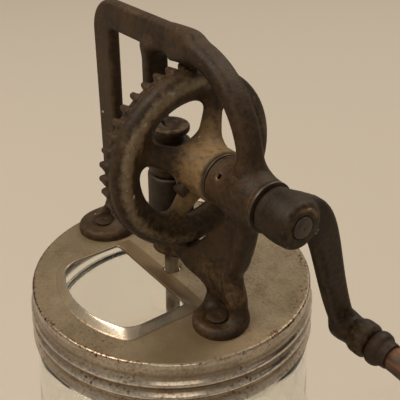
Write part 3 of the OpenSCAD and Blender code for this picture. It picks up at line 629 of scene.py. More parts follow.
def skin(field, low, high, cell):
    """Skin of a casting whose field gives the distance outside it, on a grid of cells of that size in
    mm. Each cell that the surface crosses gets one point at the mean of its edge crossings, each
    crossed grid edge gets a quad of the four cells round it, and the points then slide onto the
    surface. The third result is the worn share: how sharply the surface bends outwards, from the
    field's mean curvature."""
    axes = [np.arange(a - 1.5 * cell, b + 2.5 * cell, cell) for a, b in zip(low, high)]
    size = [len(a) for a in axes]
    depth = np.broadcast_to(field(*np.meshgrid(*axes, indexing="ij", sparse=True)), size)
    inside = depth < 0
    cells = [n - 1 for n in size]
    offsets = np.array([(i, j, k) for i in (0, 1) for j in (0, 1) for k in (0, 1)])
    filled = sum(
        inside[i:i + cells[0], j:j + cells[1], k:k + cells[2]].astype(np.int8) for i, j, k in offsets)
    crossed = (filled > 0) & (filled < len(offsets))
    number = np.full(cells, -1)
    number[crossed] = np.arange(crossed.sum())
    home = np.argwhere(crossed)
    total = np.zeros(home.shape)
    hits = np.zeros(len(home))
    for a in offsets:
        for axis in np.flatnonzero(a == 0):
            b = a.copy()
            b[axis] = 1
            near, far = depth[tuple((home + a).T)], depth[tuple((home + b).T)]
            cut = (near < 0) != (far < 0)
            share = np.where(cut, near / np.where(cut, near - far, 1), 0)
            total += cut[:, None] * (a + share[:, None] * (b - a))
            hits += cut
    start = np.array([a[0] for a in axes])
    points = start + cell * (home + total / hits[:, None])
    quads = []
    for axis in range(3):
        one, two = (axis + 1) % 3, (axis + 2) % 3
        lower = np.take(inside, range(size[axis] - 1), axis)
        upper = np.take(inside, range(1, size[axis]), axis)
        spot = np.argwhere(lower != upper)
        spot = spot[(spot[:, one] > 0) & (spot[:, two] > 0)]
        spot = spot[(spot[:, one] < cells[one]) & (spot[:, two] < cells[two])]
        e, f = np.eye(3, dtype=int)[[one, two]]
        quad = np.stack([number[tuple((spot - s).T)] for s in (0 * e, e, e + f, f)], -1)
        leaving = lower[tuple(spot.T)]
        quads.append(np.where(leaving[:, None], quad, quad[:, ::-1]))
    unit = np.eye(3)
    slides, probe, least_slope = 3, 0.03, 0.05
    for _ in range(slides):
        slope = np.stack([field(*(points + probe * u).T) - field(*(points - probe * u).T) for u in unit], -1)
        slope = slope / (2 * probe)
        move = field(*points.T)[:, None] * slope / np.maximum((slope ** 2).sum(1), least_slope)[:, None]
        points = points - np.clip(move, -0.5 * cell, 0.5 * cell)
    reach = 0.9
    bend = sum(field(*(points + reach * u).T) + field(*(points - reach * u).T) for u in unit)
    worn = (bend - 6 * field(*points.T)) / reach ** 2
    return points, np.vstack(quads).tolist(), worn


frame_low, frame_high = node_box("gear_frame")
axle_low, axle_high = node_box("gear_axle")
shaft_low, shaft_high = node_box("dasher_shaft")
frame_h = frame_high[2] - frame_low[2]
axle_z = (axle_low[2] + axle_high[2]) / 2 - lid_top
axle_r = (axle_high[2] - axle_low[2]) / 2
shaft_r = shaft_high[0]
frame_cell = 0.62

# Sizes of the bar, the left leg and the arch; heights count from the lid's top.
bar_h, bar_half, bar_end, bar_ease = 11.5, 2.75, 17.25, 1.9
leg_out, leg_w = 52.0, 13.6
top_corner, window_corner, end_round = 14.0, 3.0, 3.0
past_low, past_right = -40.0, 80.0
arch_heart = np.array([13.0, frame_h - 40.5])
arch_r, arch_in, arch_half, arch_round = 39.0, 30.5, 5.0, 0.68
arch_x, taper_x, arch_blend = 5.0, (4.0, 20.0), 5.0
strap_w, strap_z, strap_corner = 6.5, (axle_z - 4, arch_heart[1] + 1), 0.5


def bar_and_arch(x, y, z):
    """An L of bar and leg cut from an eased rectangle, and an arch between two circles that swells from
    the bar's thickness to its own and runs down as a strap to the boss."""
    outer = flat_box(x, z, (-leg_out, past_low), (past_right, frame_h), top_corner)
    window = flat_box(x, z, (leg_w - leg_out, past_low), (past_right, frame_h - bar_h), window_corner)
    outer = -soft_min(-outer, bar_end - x, end_round)
    bar = np.maximum(np.maximum(outer, -window), -z)
    bar = plate_field(bar, y, bar_half, bar_ease)
    ring = np.maximum(
        np.hypot(x - arch_heart[0], z - arch_heart[1]) - arch_r,
        arch_in - np.hypot(x - leg_out + strap_w + arch_in, z - arch_heart[1]))
    ring = np.maximum(ring, np.maximum(arch_x - x, arch_heart[1] - z))
    strap = flat_box(x, z, (leg_out - strap_w, strap_z[0]), (leg_out, strap_z[1]), strap_corner)
    swell = np.clip((x - taper_x[0]) / (taper_x[1] - taper_x[0]), 0, 1)
    half = bar_half + (arch_half - bar_half) * swell ** 2 * (3 - 2 * swell)
    arch = plate_field(np.minimum(ring, strap), y, half, arch_round * half)
    return soft_min(bar, arch, arch_blend)


# Sizes of the strut and the pivot lug.
strut_x, strut_up, strut_ease, strut_blend = (-11.5, -6.5), 2.0, 1.7, 6.0
lug_r, lug_z, lug_ease = 8.5, (axle_z - 11.0, axle_z + 3.0), 1.5
lug_blend, pivot_blend = 3.5, 4.0


def strut_post(x, y, z):
    """A square post from the lug up into the bar."""
    top = frame_h - bar_h + strut_up
    return box_field(
        x, y, z, (strut_x[0], -arch_half, lug_z[0]), (strut_x[1], arch_half, top), strut_ease)


def pivot_lug(x, y, z):
    """A round lug about the dasher and the short arm that joins it to the strut."""
    lug = rod_field(z, np.hypot(x, y), *lug_z, lug_r, lug_ease)
    arm = box_field(x, y, z, (strut_x[0], -arch_half, lug_z[0]), (0, arch_half, lug_z[1]), strut_ease)
    return soft_min(lug, arm, lug_blend)


# Sizes of the guide arm, the axle boss and the front leg.
guide_r, guide_z, guide_ease = 8.0, (axle_z - 47.8, axle_z - 38.8), 1.4
arm_start, arm_half, arm_in, arm_ease = -1.0, 4.0, 3.0, 2.4
guide_blend, arm_blend = 3.5, 5.0
boss_r, boss_x, boss_ease = 9.5, (34.6, 58.6), 1.3
neck_x = front_rivet + np.array([-12.35, 6.65])
waist_in, toe_out = 4.2, -0.4
web_half, web_start, web_back, web_ease = 3.5, 18.95, 5.0, 1.9
ridge_r, ridge_half, ridge_y, ridge_ease = 2.3, 3.3, -1.3, 2.1
ridge_blend, boss_blend, leg_blend = 3.0, 6.0, 7.0
leg_edge = np.array([
    (leg_out, axle_z), (leg_out, axle_z - 9.5), (leg_out - 1, axle_z - 19), (neck_x[1], guide_z[1] + 7),
    (neck_x[1] - waist_in, guide_z[1]), (neck_x[1], guide_z[0]), (neck_x[1] + toe_out, 3.5)])
web_line = round_corners(np.vstack([
    [(leg_out - strap_w, axle_z)], leg_edge,
    [(neck_x[1] + toe_out, 0), (neck_x[0] + toe_out, 0), (neck_x[0], guide_z[0]),
     (web_start - web_back, guide_z[0]), (web_start - web_back, guide_z[1] + 1.2),
     (web_start, guide_z[1] + 2), (boss_x[0] + 5.6, axle_z - 11.2)]]), 2)


def front_leg(x, y, z):
    """A flat web with a thicker ridge along its outer edge, and the long boss across its top."""
    web = plate_field(outline_field(x, z, web_line), y, web_half, web_ease)
    ridge = path_reach(x, z, leg_edge - [ridge_r, 0]) - ridge_r
    ridge = plate_field(ridge, y - ridge_y, ridge_half, ridge_ease)
    boss = rod_field(x, np.hypot(y, z - axle_z), *boss_x, boss_r, boss_ease)
    return soft_min(boss, soft_min(web, ridge, ridge_blend), boss_blend)


def guide_arm(x, y, z):
    """A bar from the front leg to the round guide about the dasher."""
    arm = box_field(
        x, y, z, (arm_start, -arm_half, guide_z[0]), (neck_x[0] + arm_in, arm_half, guide_z[1]), arm_ease)
    return soft_min(arm, rod_field(z, np.hypot(x, y), *guide_z, guide_r, guide_ease), guide_blend)


# Sizes of the feet and the bores.
rivet_y = (rivet_low[1] + rivet_high[1]) / 2
pad_h, pad_crown, pad_under, pad_ease = 4.0, 0.5, -3.0, 2.4
left_pad, front_pad = 13.0, 10.6
left_blend, front_blend = 10.0, 6.0
seat_z, seat_room, seat_ease, seat_round = (pad_h - 0.1, pad_h + 3.2), 0.6, 0.3, 2.4
rivet_hole, rivet_span = 2.3, (-2.0, pad_h + 1)
oil_x, oil_turn, oil_r, oil_span, oil_ease = 40.6, np.radians(50), 0.9, (5, 15), 0.2
bore_room, axle_span = 0.06, (30.0, 62.0)
shaft_span, screw_span = (2.0, lug_z[0] + 7), (lug_z[0] + 7, lug_z[1] + 5)
screw_hole = 4.25


def frame_field(x, y, z):
    """The casting: bar and arch, strut, lug, front leg, guide arm and domed feet, run together with
    fillets, cut flat under the feet, and bored for rivets, oil, axle, shaft and screw."""
    z = z - lid_top
    whole = soft_min(bar_and_arch(x, y, z), strut_post(x, y, z), strut_blend)
    whole = soft_min(whole, pivot_lug(x, y, z), pivot_blend)
    whole = soft_min(whole, front_leg(x, y, z), leg_blend)
    whole = soft_min(whole, guide_arm(x, y, z), arm_blend)
    for rivet_x, pad_r, blend in ((left_rivet, left_pad, left_blend), (front_rivet, front_pad, front_blend)):
        across = np.hypot(x - rivet_x, y - pad_y)
        dome = pad_crown * np.clip(1 - across / pad_r, 0, 1)
        whole = soft_min(whole, rod_field(z - dome, across, pad_under, pad_h, pad_r, pad_ease), blend)
    whole = np.maximum(whole, -z)
    for rivet_x in (left_rivet, front_rivet):
        across = np.hypot(x - rivet_x, y - rivet_y)
        whole = carve(whole, rod_field(z, across, *seat_z, rivet_r + seat_room, seat_ease), seat_round)
        whole = drill(whole, z, across, rivet_span, rivet_hole)
    oil_up = (z - axle_z) * np.cos(oil_turn) - y * np.sin(oil_turn)
    oil_side = (z - axle_z) * np.sin(oil_turn) + y * np.cos(oil_turn)
    whole = drill(whole, oil_up, np.hypot(x - oil_x, oil_side), oil_span, oil_r, oil_ease)
    whole = drill(whole, x, np.hypot(y, z - axle_z), axle_span, axle_r + bore_room)
    whole = drill(whole, z, np.hypot(x, y), shaft_span, shaft_r + bore_room)
    return drill(whole, z, np.hypot(x, y), screw_span, screw_hole)


# Aged iron: fine mottling from dark to mid brown, pale dust where it gathers, darker in hollows, bare
# metal on worn edges and a few pale chips. Its last outputs are the share of bare metal and the grain.
iron_dust_and_glow, hollow_dark_tone, iron_chip = srgb(118, 96, 66), srgb(28, 22, 16), srgb(158, 148, 130)
aged_iron, ends_in, ends_out = new_group(
    "aged_iron",
    [("Worn", "Float", 0.0), ("Dust", "Float", 0.0), ("Dark", "Color", srgb(31, 21, 12)),
     ("Brown", "Color", srgb(60, 43, 25)), ("Bare", "Color", srgb(134, 110, 80))],
    [("Color", "Color"), ("Roughness", "Float"), ("Metal", "Float"), ("Height", "Float")])
where = add_place(aged_iron)
worn_in, dust_in = ends_in.outputs["Worn"], ends_in.outputs["Dust"]
broad = add_noise(where, 60.0, 4.0)
mottle = add_noise(where, 420.0, 5.0, 0.68)
grain = add_noise(where, 1700.0, 2.0)
lifted = add_step(add_sum((broad, 0.45), (mottle, 0.55)), 0.36, 0.66)
tone = add_mix(lifted, ends_in.outputs["Dark"], ends_in.outputs["Brown"])
# On the gear the dust share also carries a painted glow of sheen along the rim, in this dust tone.
dusty = add_step(add_sum((dust_in, 1.0), (mottle, 2.0), plus=-1.0), 0.1, 1.1)
tone = add_mix(add_math("MULTIPLY", dusty, dust_in), tone, iron_dust_and_glow)
# Darker in hollows, where the worn share is negative.
hollow = add_step(worn_in, -0.9, -0.1, 0.6, 0.0)
tone = add_mix(hollow, tone, hollow_dark_tone)
# On the gear's crest and the crank hub's ring the worn share also holds a painted highlight, so part of this
# bare metal is a painted highlight.
rub = add_sum((worn_in, 1.0), (mottle, 1.2), (broad, 1.0), plus=-1.1)
rub = add_step(rub, 0.3, 1.5)
tone = add_mix(add_math("MULTIPLY", rub, 0.7), tone, ends_in.outputs["Bare"])
chips = add_sum((add_noise(where, 150.0, 3.0), 1.0), (rub, 0.12))
tone = add_mix(add_step(chips, 0.72, 0.75), tone, iron_chip)
matt = add_step(mottle, 0.3, 0.75, 0.44, 0.66)
fill(ends_out, Color=tone, Roughness=add_sum((matt, 1.0), (rub, -0.24)),
     Metal=add_math("MULTIPLY", rub, 0.75), Height=add_sum((mottle, 0.7), (grain, 0.3)))


def group_finish(name, group, strength, depth, shares=(), **values):
    """A material whose colour, roughness and bump come from one group, with the piece's own shares and
    the given values on the group's inputs. Gives back the material, its shader and the group's node."""
    material, tree, shader = new_material(name)
    shared = {label: read_share(tree, label.lower()) for label in shares}
    node = use_group(tree, group, **shared, **values)
    fill(shader, Base_Color=node.outputs["Color"], Roughness=node.outputs["Roughness"])
    add_bump(shader, node.outputs["Height"], strength, depth)
    return material, shader, node


def iron_finish(name, depth, **colours):
    """A material of aged iron with its own bump depth in mm and its own colours."""
    material, shader, iron = group_finish(name, aged_iron, 0.5, depth, ("Worn", "Dust"), **colours)
    fill(shader, Metallic=iron.outputs["Metal"], Specular_IOR_Level=0.2)
    return material


frame_iron = iron_finish("frame_iron", 0.9)
points, faces, worn = skin(frame_field, frame_low, frame_high, frame_cell)
casting = add_piece("frame_casting", points, faces, "lid", "cast_iron", frame_iron, "gear_frame")
set_share(casting, "worn", np.minimum(0.65 * worn, 0.8))
above_lid = points[:, 2] - lid_top
set_share(casting, "dust", 0.45 * ramp(above_lid, 34, -16) * ramp(above_lid, 7, 5))

# Foot rivets and their washers
# Each foot is held by one iron rivet: a low round head with a small dimple in the foot's dish, a
# shank through foot and lid, and a hammered tail on a steel washer under the lid.


def ease_profile(corners, ease, steps=5):
    """Rounds each corner of a (radius, along) profile with a short curve that bends from one side to
    the next: it starts and ends ease away from the corner, or at most nearly half of the side."""
    nearly_half = 0.45
    corners = np.asarray(corners, float)
    back = np.roll(corners, 1, axis=0) - corners
    ahead = np.roll(corners, -1, axis=0) - corners
    start, end = (
        corners + v * np.minimum(ease / np.maximum(np.linalg.norm(v, axis=1), 1e-9), nearly_half)[:, None]
        for v in (back, ahead))
    t = np.linspace(0, 1, steps)[None, :, None]
    curve = (1 - t) ** 2 * start[:, None] + 2 * t * (1 - t) * corners[:, None] + t ** 2 * end[:, None]
    return curve.reshape(-1, 2)


def solid_profile(corners, ease):
    """Eased profile of a solid turned piece, from the middle of one end to the middle of the other.
    Points next to the axis are left out, and the easing leaves a small centre mark in each end."""
    least_r = 0.12
    whole = ease_profile([(0.0, corners[0][1]), *corners, (0.0, corners[-1][1])], ease)
    return whole[whole[:, 0] > least_r]


def ring_profile(inner, outer, start, end, ease):
    """Eased profile of a flat ring."""
    return ease_profile([(inner, start), (outer, start), (outer, end), (inner, end)], ease)


def turned(profile, middle, axis, around):
    """Rows of a piece turned on a lathe: a closed (radius, along) profile carried round the axis
    ("x", "y" or "z") through middle."""
    turn = np.linspace(0, 2 * np.pi, around, endpoint=False)
    r, along = profile[:, :1], np.broadcast_to(profile[:, 1:], (len(profile), around))
    rows = {"x": (along, r * np.cos(turn), r * np.sin(turn)),
            "y": (r * np.sin(turn), along, r * np.cos(turn)),
            "z": (r * np.cos(turn), r * np.sin(turn), along)}[axis]
    return np.stack(rows, -1) + np.asarray(middle, float)


def add_turned(name, profile, middle, axis, body, slot, material, *nodes, around=72, ring=False):
    """A turned piece: solid, or with ring a tube whose profile goes round its bore."""
    add_piece(name, *weave(turned(profile, middle, axis, around), ring), body, slot, material, *nodes)


tail_z, tail_r, shank_r = (-3.0, -2.4, -2.2), 3.0, 2.2
head_low, head_edge, head_h = pad_h - 0.6, pad_h + 0.1, 0.6
crown_r = 1.6
crown = np.linspace(0, np.pi / 2, 7)[1:, None]
rivet_shape = np.vstack([
    [(tail_r - 1, tail_z[0]), (tail_r - 0.1, tail_z[0]), (tail_r, tail_z[1]), (shank_r, tail_z[2]),
     (shank_r, head_low), (rivet_r, head_low), (rivet_r, head_edge)],
    np.hstack([rivet_r * np.cos(crown) + crown_r * np.sin(crown), head_edge + head_h * np.sin(crown)]),
    [(1.2, pad_h + 0.5), (0.7, pad_h + 0.3)]])
rivet_iron = iron_finish("rivet_iron", 0.6, Brown=srgb(54, 39, 23))
feet = (("left", left_rivet), ("front", front_rivet))
for name, rivet_x in feet:
    add_turned(f"foot_rivet_{name}", rivet_shape, (rivet_x, rivet_y, lid_top), "z",
               "lid", "cast_iron", rivet_iron, "foot_rivets", around=48)

# Dull steel: grey brown metal with soft blotches and fine pits.
dull_steel, ends_in, ends_out = new_group(
    "dull_steel", [("Clean", "Color", srgb(128, 116, 99)), ("Stained", "Color", srgb(74, 61, 46))],
    [("Color", "Color"), ("Roughness", "Float"), ("Height", "Float")])
where = add_place(dull_steel)
blotch = add_noise(where, 140.0, 4.0, 0.6)
stained = add_step(blotch, 0.35, 0.65)
fill(ends_out, Color=add_mix(stained, ends_in.outputs["Clean"], ends_in.outputs["Stained"]),
     Roughness=add_step(blotch, 0.3, 0.7, 0.34, 0.55),
     Height=add_noise(where, 1100.0, 3.0, 0.6))


def steel_finish(name, metal, **colours):
    """A material of dull steel with its own metal share and colours."""
    material, shader, _ = group_finish(name, dull_steel, 0.4, 0.15, **colours)
    fill(shader, Metallic=metal)
    return material


washer_steel = steel_finish("washer_steel", 0.2, Clean=srgb(62, 48, 35), Stained=srgb(40, 31, 22))
washer_low, washer_high = node_box("rivet_washers")
washer_hole, washer_r = 2.25, 4.0
washer_shape = ring_profile(washer_hole, washer_r, washer_low[2], washer_high[2], 0.25)
for name, rivet_x in feet:
    add_turned(f"rivet_washer_{name}", washer_shape, (rivet_x, rivet_y, 0), "z",
               "lid", "steel", washer_steel, "rivet_washers", around=40, ring=True)

# Pivot screw
# A slotted iron screw closes the top of the pivot lug and bears on the shaft's upper end. Its round
# head is dished and stands on a short collar.
screw_low, screw_high = node_box("pivot_screw")
screw_top = screw_high[2] + 2.3
screw_r, screw_head, screw_ease = screw_high[0] + 1.4, 3.0, 1.1
shank_screw_r, shank_ease = 4.2, 0.3
collar_screw_r, collar_low, collar_ease = screw_r - 2.4, screw_high[2] - 4, 0.4
under_head = screw_top - 1
slot_half, slot_deep, slot_round = 0.6, 2.0, 0.5
dish_r, dish_up, dish_round = 5.6, 6.4, 0.8
screw_cell, screw_room = 0.38, 2.0


def screw_field(x, y, z):
    """A round head with an eased rim on a collar and a plain shank, with a dish and a slot in its top."""
    across = np.hypot(x, y)
    head = rod_field(z, across, screw_top - screw_head, screw_top, screw_r, screw_ease)
    whole = np.minimum(head, rod_field(z, across, screw_low[2], under_head, shank_screw_r, shank_ease))
    whole = np.minimum(whole, rod_field(z, across, collar_low, under_head, collar_screw_r, collar_ease))
    ball = np.hypot(across, z - screw_top - dish_up) - np.hypot(dish_r, dish_up)
    whole = carve(whole, ball, dish_round)
    slot = np.maximum(np.maximum(np.abs(y) - slot_half, across - dish_r), screw_top - slot_deep - z)
    return carve(whole, slot, slot_round)


points, faces, worn = skin(screw_field, screw_low - screw_room, screw_high + screw_room, screw_cell)
pivot = add_piece("pivot_screw_slotted", points, faces, "lid", "cast_iron", rivet_iron, "pivot_screw")
set_share(pivot, "worn", 0.4 * worn - 0.1)
set_share(pivot, "dust", 0.5 * ramp(points[:, 2], screw_top - screw_head, screw_head))

# Drive gear
# The crown gear is one iron casting: a round bead of a rim with a flange inside it and forty teeth on
# its back, four spokes that lean out to the hub, and a hub pinned to the axle. Dust lies on its hub
# and spokes and the rim's crest is worn bare; a painted highlight and a painted glow of sheen lie along
# the crest, and a painted shadow keeps the left spoke dark.
gear_low, gear_high = node_box("drive_gear")
gear_axle_z = (axle_low[2] + axle_high[2]) / 2
gear_teeth, gear_spokes = 40, 4
rim_mid, rim_half = (31.7, 15.5), (4.2, 3.9)
flange_mid, flange_half, flange_blend = (28.2, 15.0), (4.4, 2.6), 4.0
plate_r, plate_x, plate_corner, plate_blend = (26.5, 34.9), (9.5, 13.2), 0.5, 1.2
tooth_r, tooth_x = (29.2, 36.2), (gear_low[0], 12.8)
tooth_base, tooth_tip, tooth_ease, tooth_blend = 1.35, 1.15, 1.1, 0.6
tooth_foot, tooth_foot_run = 0.45, 1.5
spoke_turn, spoke_blend = np.radians(67), 4.0
spoke_hub, spoke_rim = (7.0, 21.6), (26.0, 15.2)
spoke_half, spoke_hub_out, spoke_rim_out = 3.6, 2.8, 1.2
spoke_thick, spoke_thin, spoke_scale = 4.2, 1.9, 0.9
hub_r, hub_x, hub_ease, hub_blend = 10.5, (17.25, gear_high[0]), 1.4, 4.0
running_room, gear_bore = 0.05, (0, 40)
gear_cell, gear_front_room = 0.5, 1.0


def oval_field(out, along, mid, half):
    """About the distance outside an oval with its middle at mid and the given half widths: how far the
    oval's own measure is past 1, over that measure's slope."""
    a, b = (out - mid[0]) / half[0], (along - mid[1]) / half[1]
    oval = np.hypot(a, b)
    return oval * (oval - 1) / np.maximum(np.hypot(a / half[0], b / half[1]), 1e-6)


def gear_tooth(x, rho, phi):
    """Rounded teeth folded into one tooth's sector: narrower at the tip, wider at the foot."""
    sector = 2 * np.pi / gear_teeth
    side = rho * np.sin((phi + sector / 2) % sector - sector / 2)
    half = tooth_tip + (tooth_base - tooth_tip) * ramp(x, tooth_x[0], plate_x[0] - tooth_x[0])
    flank = np.abs(side) - half - tooth_foot * ramp(x, plate_x[0], tooth_foot_run)
    return eased(tooth_ease, flank, span_field(rho, *tooth_r), span_field(x, *tooth_x))


def gear_spoke(x, rho, phi):
    """Spokes of oval section folded into one spoke's sector: wide and thick at the hub, thin at the
    rim, with a small spread where they meet it."""
    sector = 2 * np.pi / gear_spokes
    fold = (phi - spoke_turn + sector / 2) % sector - sector / 2
    out, off = rho * np.cos(fold), rho * np.sin(fold)
    share = np.clip((out - spoke_hub[0]) / (spoke_rim[0] - spoke_hub[0]), 0, 1)
    mid_x = spoke_hub[1] + (spoke_rim[1] - spoke_hub[1]) * share
    wide = spoke_half + spoke_hub_out * (1 - share) ** 2 + spoke_rim_out * share ** 4
    thick = spoke_thick - spoke_thin * share
    oval = np.hypot(off / wide, (x - mid_x) / thick)
    spoke = (oval - 1) * np.minimum(wide, thick) * spoke_scale
    return np.maximum(spoke, np.maximum(spoke_hub[0] - out, out - spoke_rim[0]))


def gear_field(x, y, z):
    """Rim as a bead of oval section with a thinner flange inside it, back plate, teeth, spokes, and the
    hub with its bore."""
    z = z - gear_axle_z
    rho, phi = np.hypot(y, z), np.arctan2(z, y)
    bead = oval_field(rho, x, rim_mid, rim_half)
    rim = soft_min(bead, oval_field(rho, x, flange_mid, flange_half), flange_blend)
    plate = flat_box(rho, x, (plate_r[0], plate_x[0]), (plate_r[1], plate_x[1]), plate_corner)
    rim = soft_min(soft_min(rim, plate, plate_blend), gear_tooth(x, rho, phi), tooth_blend)
    hub = rod_field(x, rho, *hub_x, hub_r, hub_ease)
    whole = soft_min(soft_min(rim, gear_spoke(x, rho, phi), spoke_blend), hub, hub_blend)
    return drill(whole, x, rho, gear_bore, axle_r + running_room)


gear_iron = iron_finish("gear_iron", 0.8, Brown=srgb(62, 45, 27), Bare=srgb(148, 134, 114))
points, faces, worn = skin(gear_field, gear_low, gear_high + [gear_front_room, 0, 0], gear_cell)
gear = add_piece("crown_gear", points, faces, "crank", "cast_iron", gear_iron, "drive_gear")
gear_x = points[:, 0]
from_axle = points[:, 1:] - [0, gear_axle_z]
off_axle = np.hypot(*from_axle.T)
facing = from_axle / off_axle[:, None]

# The rim's crest is worn bare, and a painted highlight makes it brightest on its upper left; the teeth
# behind it are less worn.
crest_r = 32.4
crest = bell(off_axle, crest_r, np.where(off_axle > crest_r, 2.0, 3.2)) * ramp(gear_x, 15.5, 3.0)
# Painted highlight: strongest toward the upper left.
crest = crest * (0.75 + 0.45 * facing @ [-0.85, 0.53])
set_share(gear, "worn", np.minimum(0.4 * worn, 0.5) * np.clip((gear_x - 9) / 4, 0.2, 1) + crest)

# Dust lies on hub and spokes. The left spoke gets less, a painted shadow that keeps it dark, and a
# painted glow of sheen in the dust's tone lies along the crest, strongest on its upper left.
# Painted shadow on the left spoke.
left_spoke_shadow = ramp(facing @ [-0.92, 0.39], 0.75, 0.2) * ramp(off_axle, 11, 6)
dusted = ramp(off_axle, 29, -12) * ramp(gear_x, 13, 5)
# Painted glow of sheen along the crest.
crest_glow = bell(off_axle, 31.0, 3.0) * ramp(gear_x, 15, 2)
crest_glow = crest_glow * np.clip(0.55 + 0.45 * facing @ [-0.9, 0.44], 0, 1)
set_share(gear, "dust", 0.85 * dusted * (1 - 0.8 * left_spoke_shadow) + 0.85 * crest_glow)

# Axle, cross pin and washers
# A plain steel axle runs through the boss. A pin with a head on one side holds the gear on it, and a
# washer at each end of the boss takes the wear.
axle_steel = steel_finish("axle_steel", 0.1, Clean=srgb(56, 41, 30), Stained=srgb(36, 26, 19))
axle_mid = (0, (axle_low[1] + axle_high[1]) / 2, gear_axle_z)
shape = solid_profile([(axle_r, axle_low[0]), (axle_r, axle_high[0])], 0.9)
add_turned("axle_of_steel", shape, axle_mid, "x", "crank", "steel", axle_steel, "gear_axle")
pin_low, pin_high = node_box("gear_pin")
pin_r, pin_half, pin_end = 1.9, hub_r + 3.6, hub_r + 0.5
pin_head_r, pin_head_t, pin_turn = 2.9, 4.4, np.radians(30)
pin_mid = np.array([(pin_low[0] + pin_high[0]) / 2, 0, gear_axle_z])
pin_tilt = np.array(Matrix.Rotation(pin_turn, 3, "X"))
shape = solid_profile([
    (pin_head_r, -pin_half), (pin_head_r, pin_head_t - pin_half), (pin_r, pin_head_t - pin_half),
    (pin_r, pin_end)], 1.2)
rows = turned(shape, (0, 0, 0), "y", 40) @ pin_tilt.T + pin_mid
add_piece("gear_cross_pin", *weave(rows, False), "crank", "steel", gear_iron, "gear_pin")
for node in ("gear_washer", "crank_washer"):
    low, high = node_box(node)
    shape = ring_profile(axle_r + running_room, high[1], low[0], high[0], 0.3)
    add_turned(f"{node}_ring", shape, axle_mid, "x", "lid", "steel", washer_steel, node, ring=True)

# Crank arm
# The crank is one iron casting: a hub on the axle's end, an arm that leaves it sideways and runs down
# to a round boss for the grip's spindle. Its hub's face is worn bright in a ring, strongest on its
# upper side and gone on the lower, as a painted highlight.
crank_low, crank_high = node_box("crank_arm")
crank_turn = np.radians(30)
crank_hub_r, crank_hub_ease = 8.7, 1.9
crank_hub_x = (crank_low[0], crank_low[0] + 15.0)
crank_arm_x, crank_arm_ease = (crank_low[0] + 4.8, crank_low[0] + 11.3), 2.3
crank_len, crank_bow, crank_over = 71.5, 19.0, 6.5
crank_half = (7.1, 4.75)
tail_up, tail_corner = 4.0, 1.5
elbow_r, elbow_in, elbow_ease = 6.1, 1.0, 1.5
end_r, end_x, end_ease = 7.2, (crank_arm_x[0] + 10.3, crank_high[0]), 2.6
elbow_blend, crank_blend, end_blend = 3.5, 4.0, 1.6
crank_bore, spindle_bore, spindle_hole = (50, 90), (60, 90), 2.25
crank_cell = 0.55

# The arm's middle line is a cubic curve from the axle to the spindle, drawn sideways by two pulls.
steps = np.linspace(0, 1, 22)[:, None]
upper_pull = np.array([crank_bow, -0.12 * crank_len])
lower_pull = np.array([0.18 * crank_bow, -0.4 * crank_len])
crank_line = (3 * steps * (1 - steps) ** 2 * upper_pull + 3 * steps ** 2 * (1 - steps) * lower_pull
              + steps ** 3 * np.array([0, -crank_len]))


def crank_field(x, y, z):
    """Hub, an arm of falling width along its curved middle line, and the end boss, run together."""
    z = z - gear_axle_z
    u = y * np.cos(crank_turn) + z * np.sin(crank_turn)
    w = z * np.cos(crank_turn) - y * np.sin(crank_turn)
    flat = flat_box(
        u, w, (-crank_half[1], -crank_len - crank_over), (crank_half[1], tail_up - crank_len), tail_corner)
    for i, (start, end) in enumerate(zip(crank_line[:-1], crank_line[1:])):
        reach, share = side_reach(u, w, start, end)
        half = crank_half[0] + (crank_half[1] - crank_half[0]) * (i + share) / (len(crank_line) - 1)
        flat = np.minimum(flat, reach - half)
    arm = eased(crank_arm_ease, flat, span_field(x, *crank_arm_x))
    axle, pin = np.hypot(u, w), np.hypot(u, w + crank_len)
    hub = rod_field(x, axle, *crank_hub_x, crank_hub_r, crank_hub_ease)
    elbow = rod_field(x, pin, crank_arm_x[0] + elbow_in, end_x[1] - elbow_in, elbow_r, elbow_ease)
    end = rod_field(x, pin, *end_x, end_r, end_ease)
    whole = soft_min(soft_min(soft_min(arm, elbow, elbow_blend), hub, crank_blend), end, end_blend)
    whole = drill(whole, x, axle, crank_bore, axle_r + running_room)
    return drill(whole, x, pin, spindle_bore, spindle_hole)


crank_iron = iron_finish("crank_iron", 0.7, Dark=srgb(23, 16, 10), Brown=srgb(42, 29, 18))
points, faces, worn = skin(crank_field, crank_low, crank_high, crank_cell)
crank = add_piece("crank_casting", points, faces, "crank", "cast_iron", crank_iron, "crank_arm")
from_axle = points[:, 1:] - [0, gear_axle_z]
off_axle = np.hypot(*from_axle.T)
bright_r, bright_width = 6.4, 0.9
ring_wear_and_highlight = bell(off_axle, bright_r, bright_width) * (points[:, 0] > crank_hub_x[1] - 1.5)
# Painted highlight: the ring fades out away from its upper side.
ring_wear_and_highlight = ring_wear_and_highlight * np.clip(from_axle @ [0.5, 0.85] / off_axle, 0, 1)
set_share(crank, "worn", 0.4 * worn - 0.15 + 1.3 * ring_wear_and_highlight)
boss_side = ramp(points[:, 0], end_x[0] - 3, 3)
set_share(crank, "dust", 0.4 * boss_side + 0.35 * ramp(off_axle, 14, 6) * (1 - boss_side))

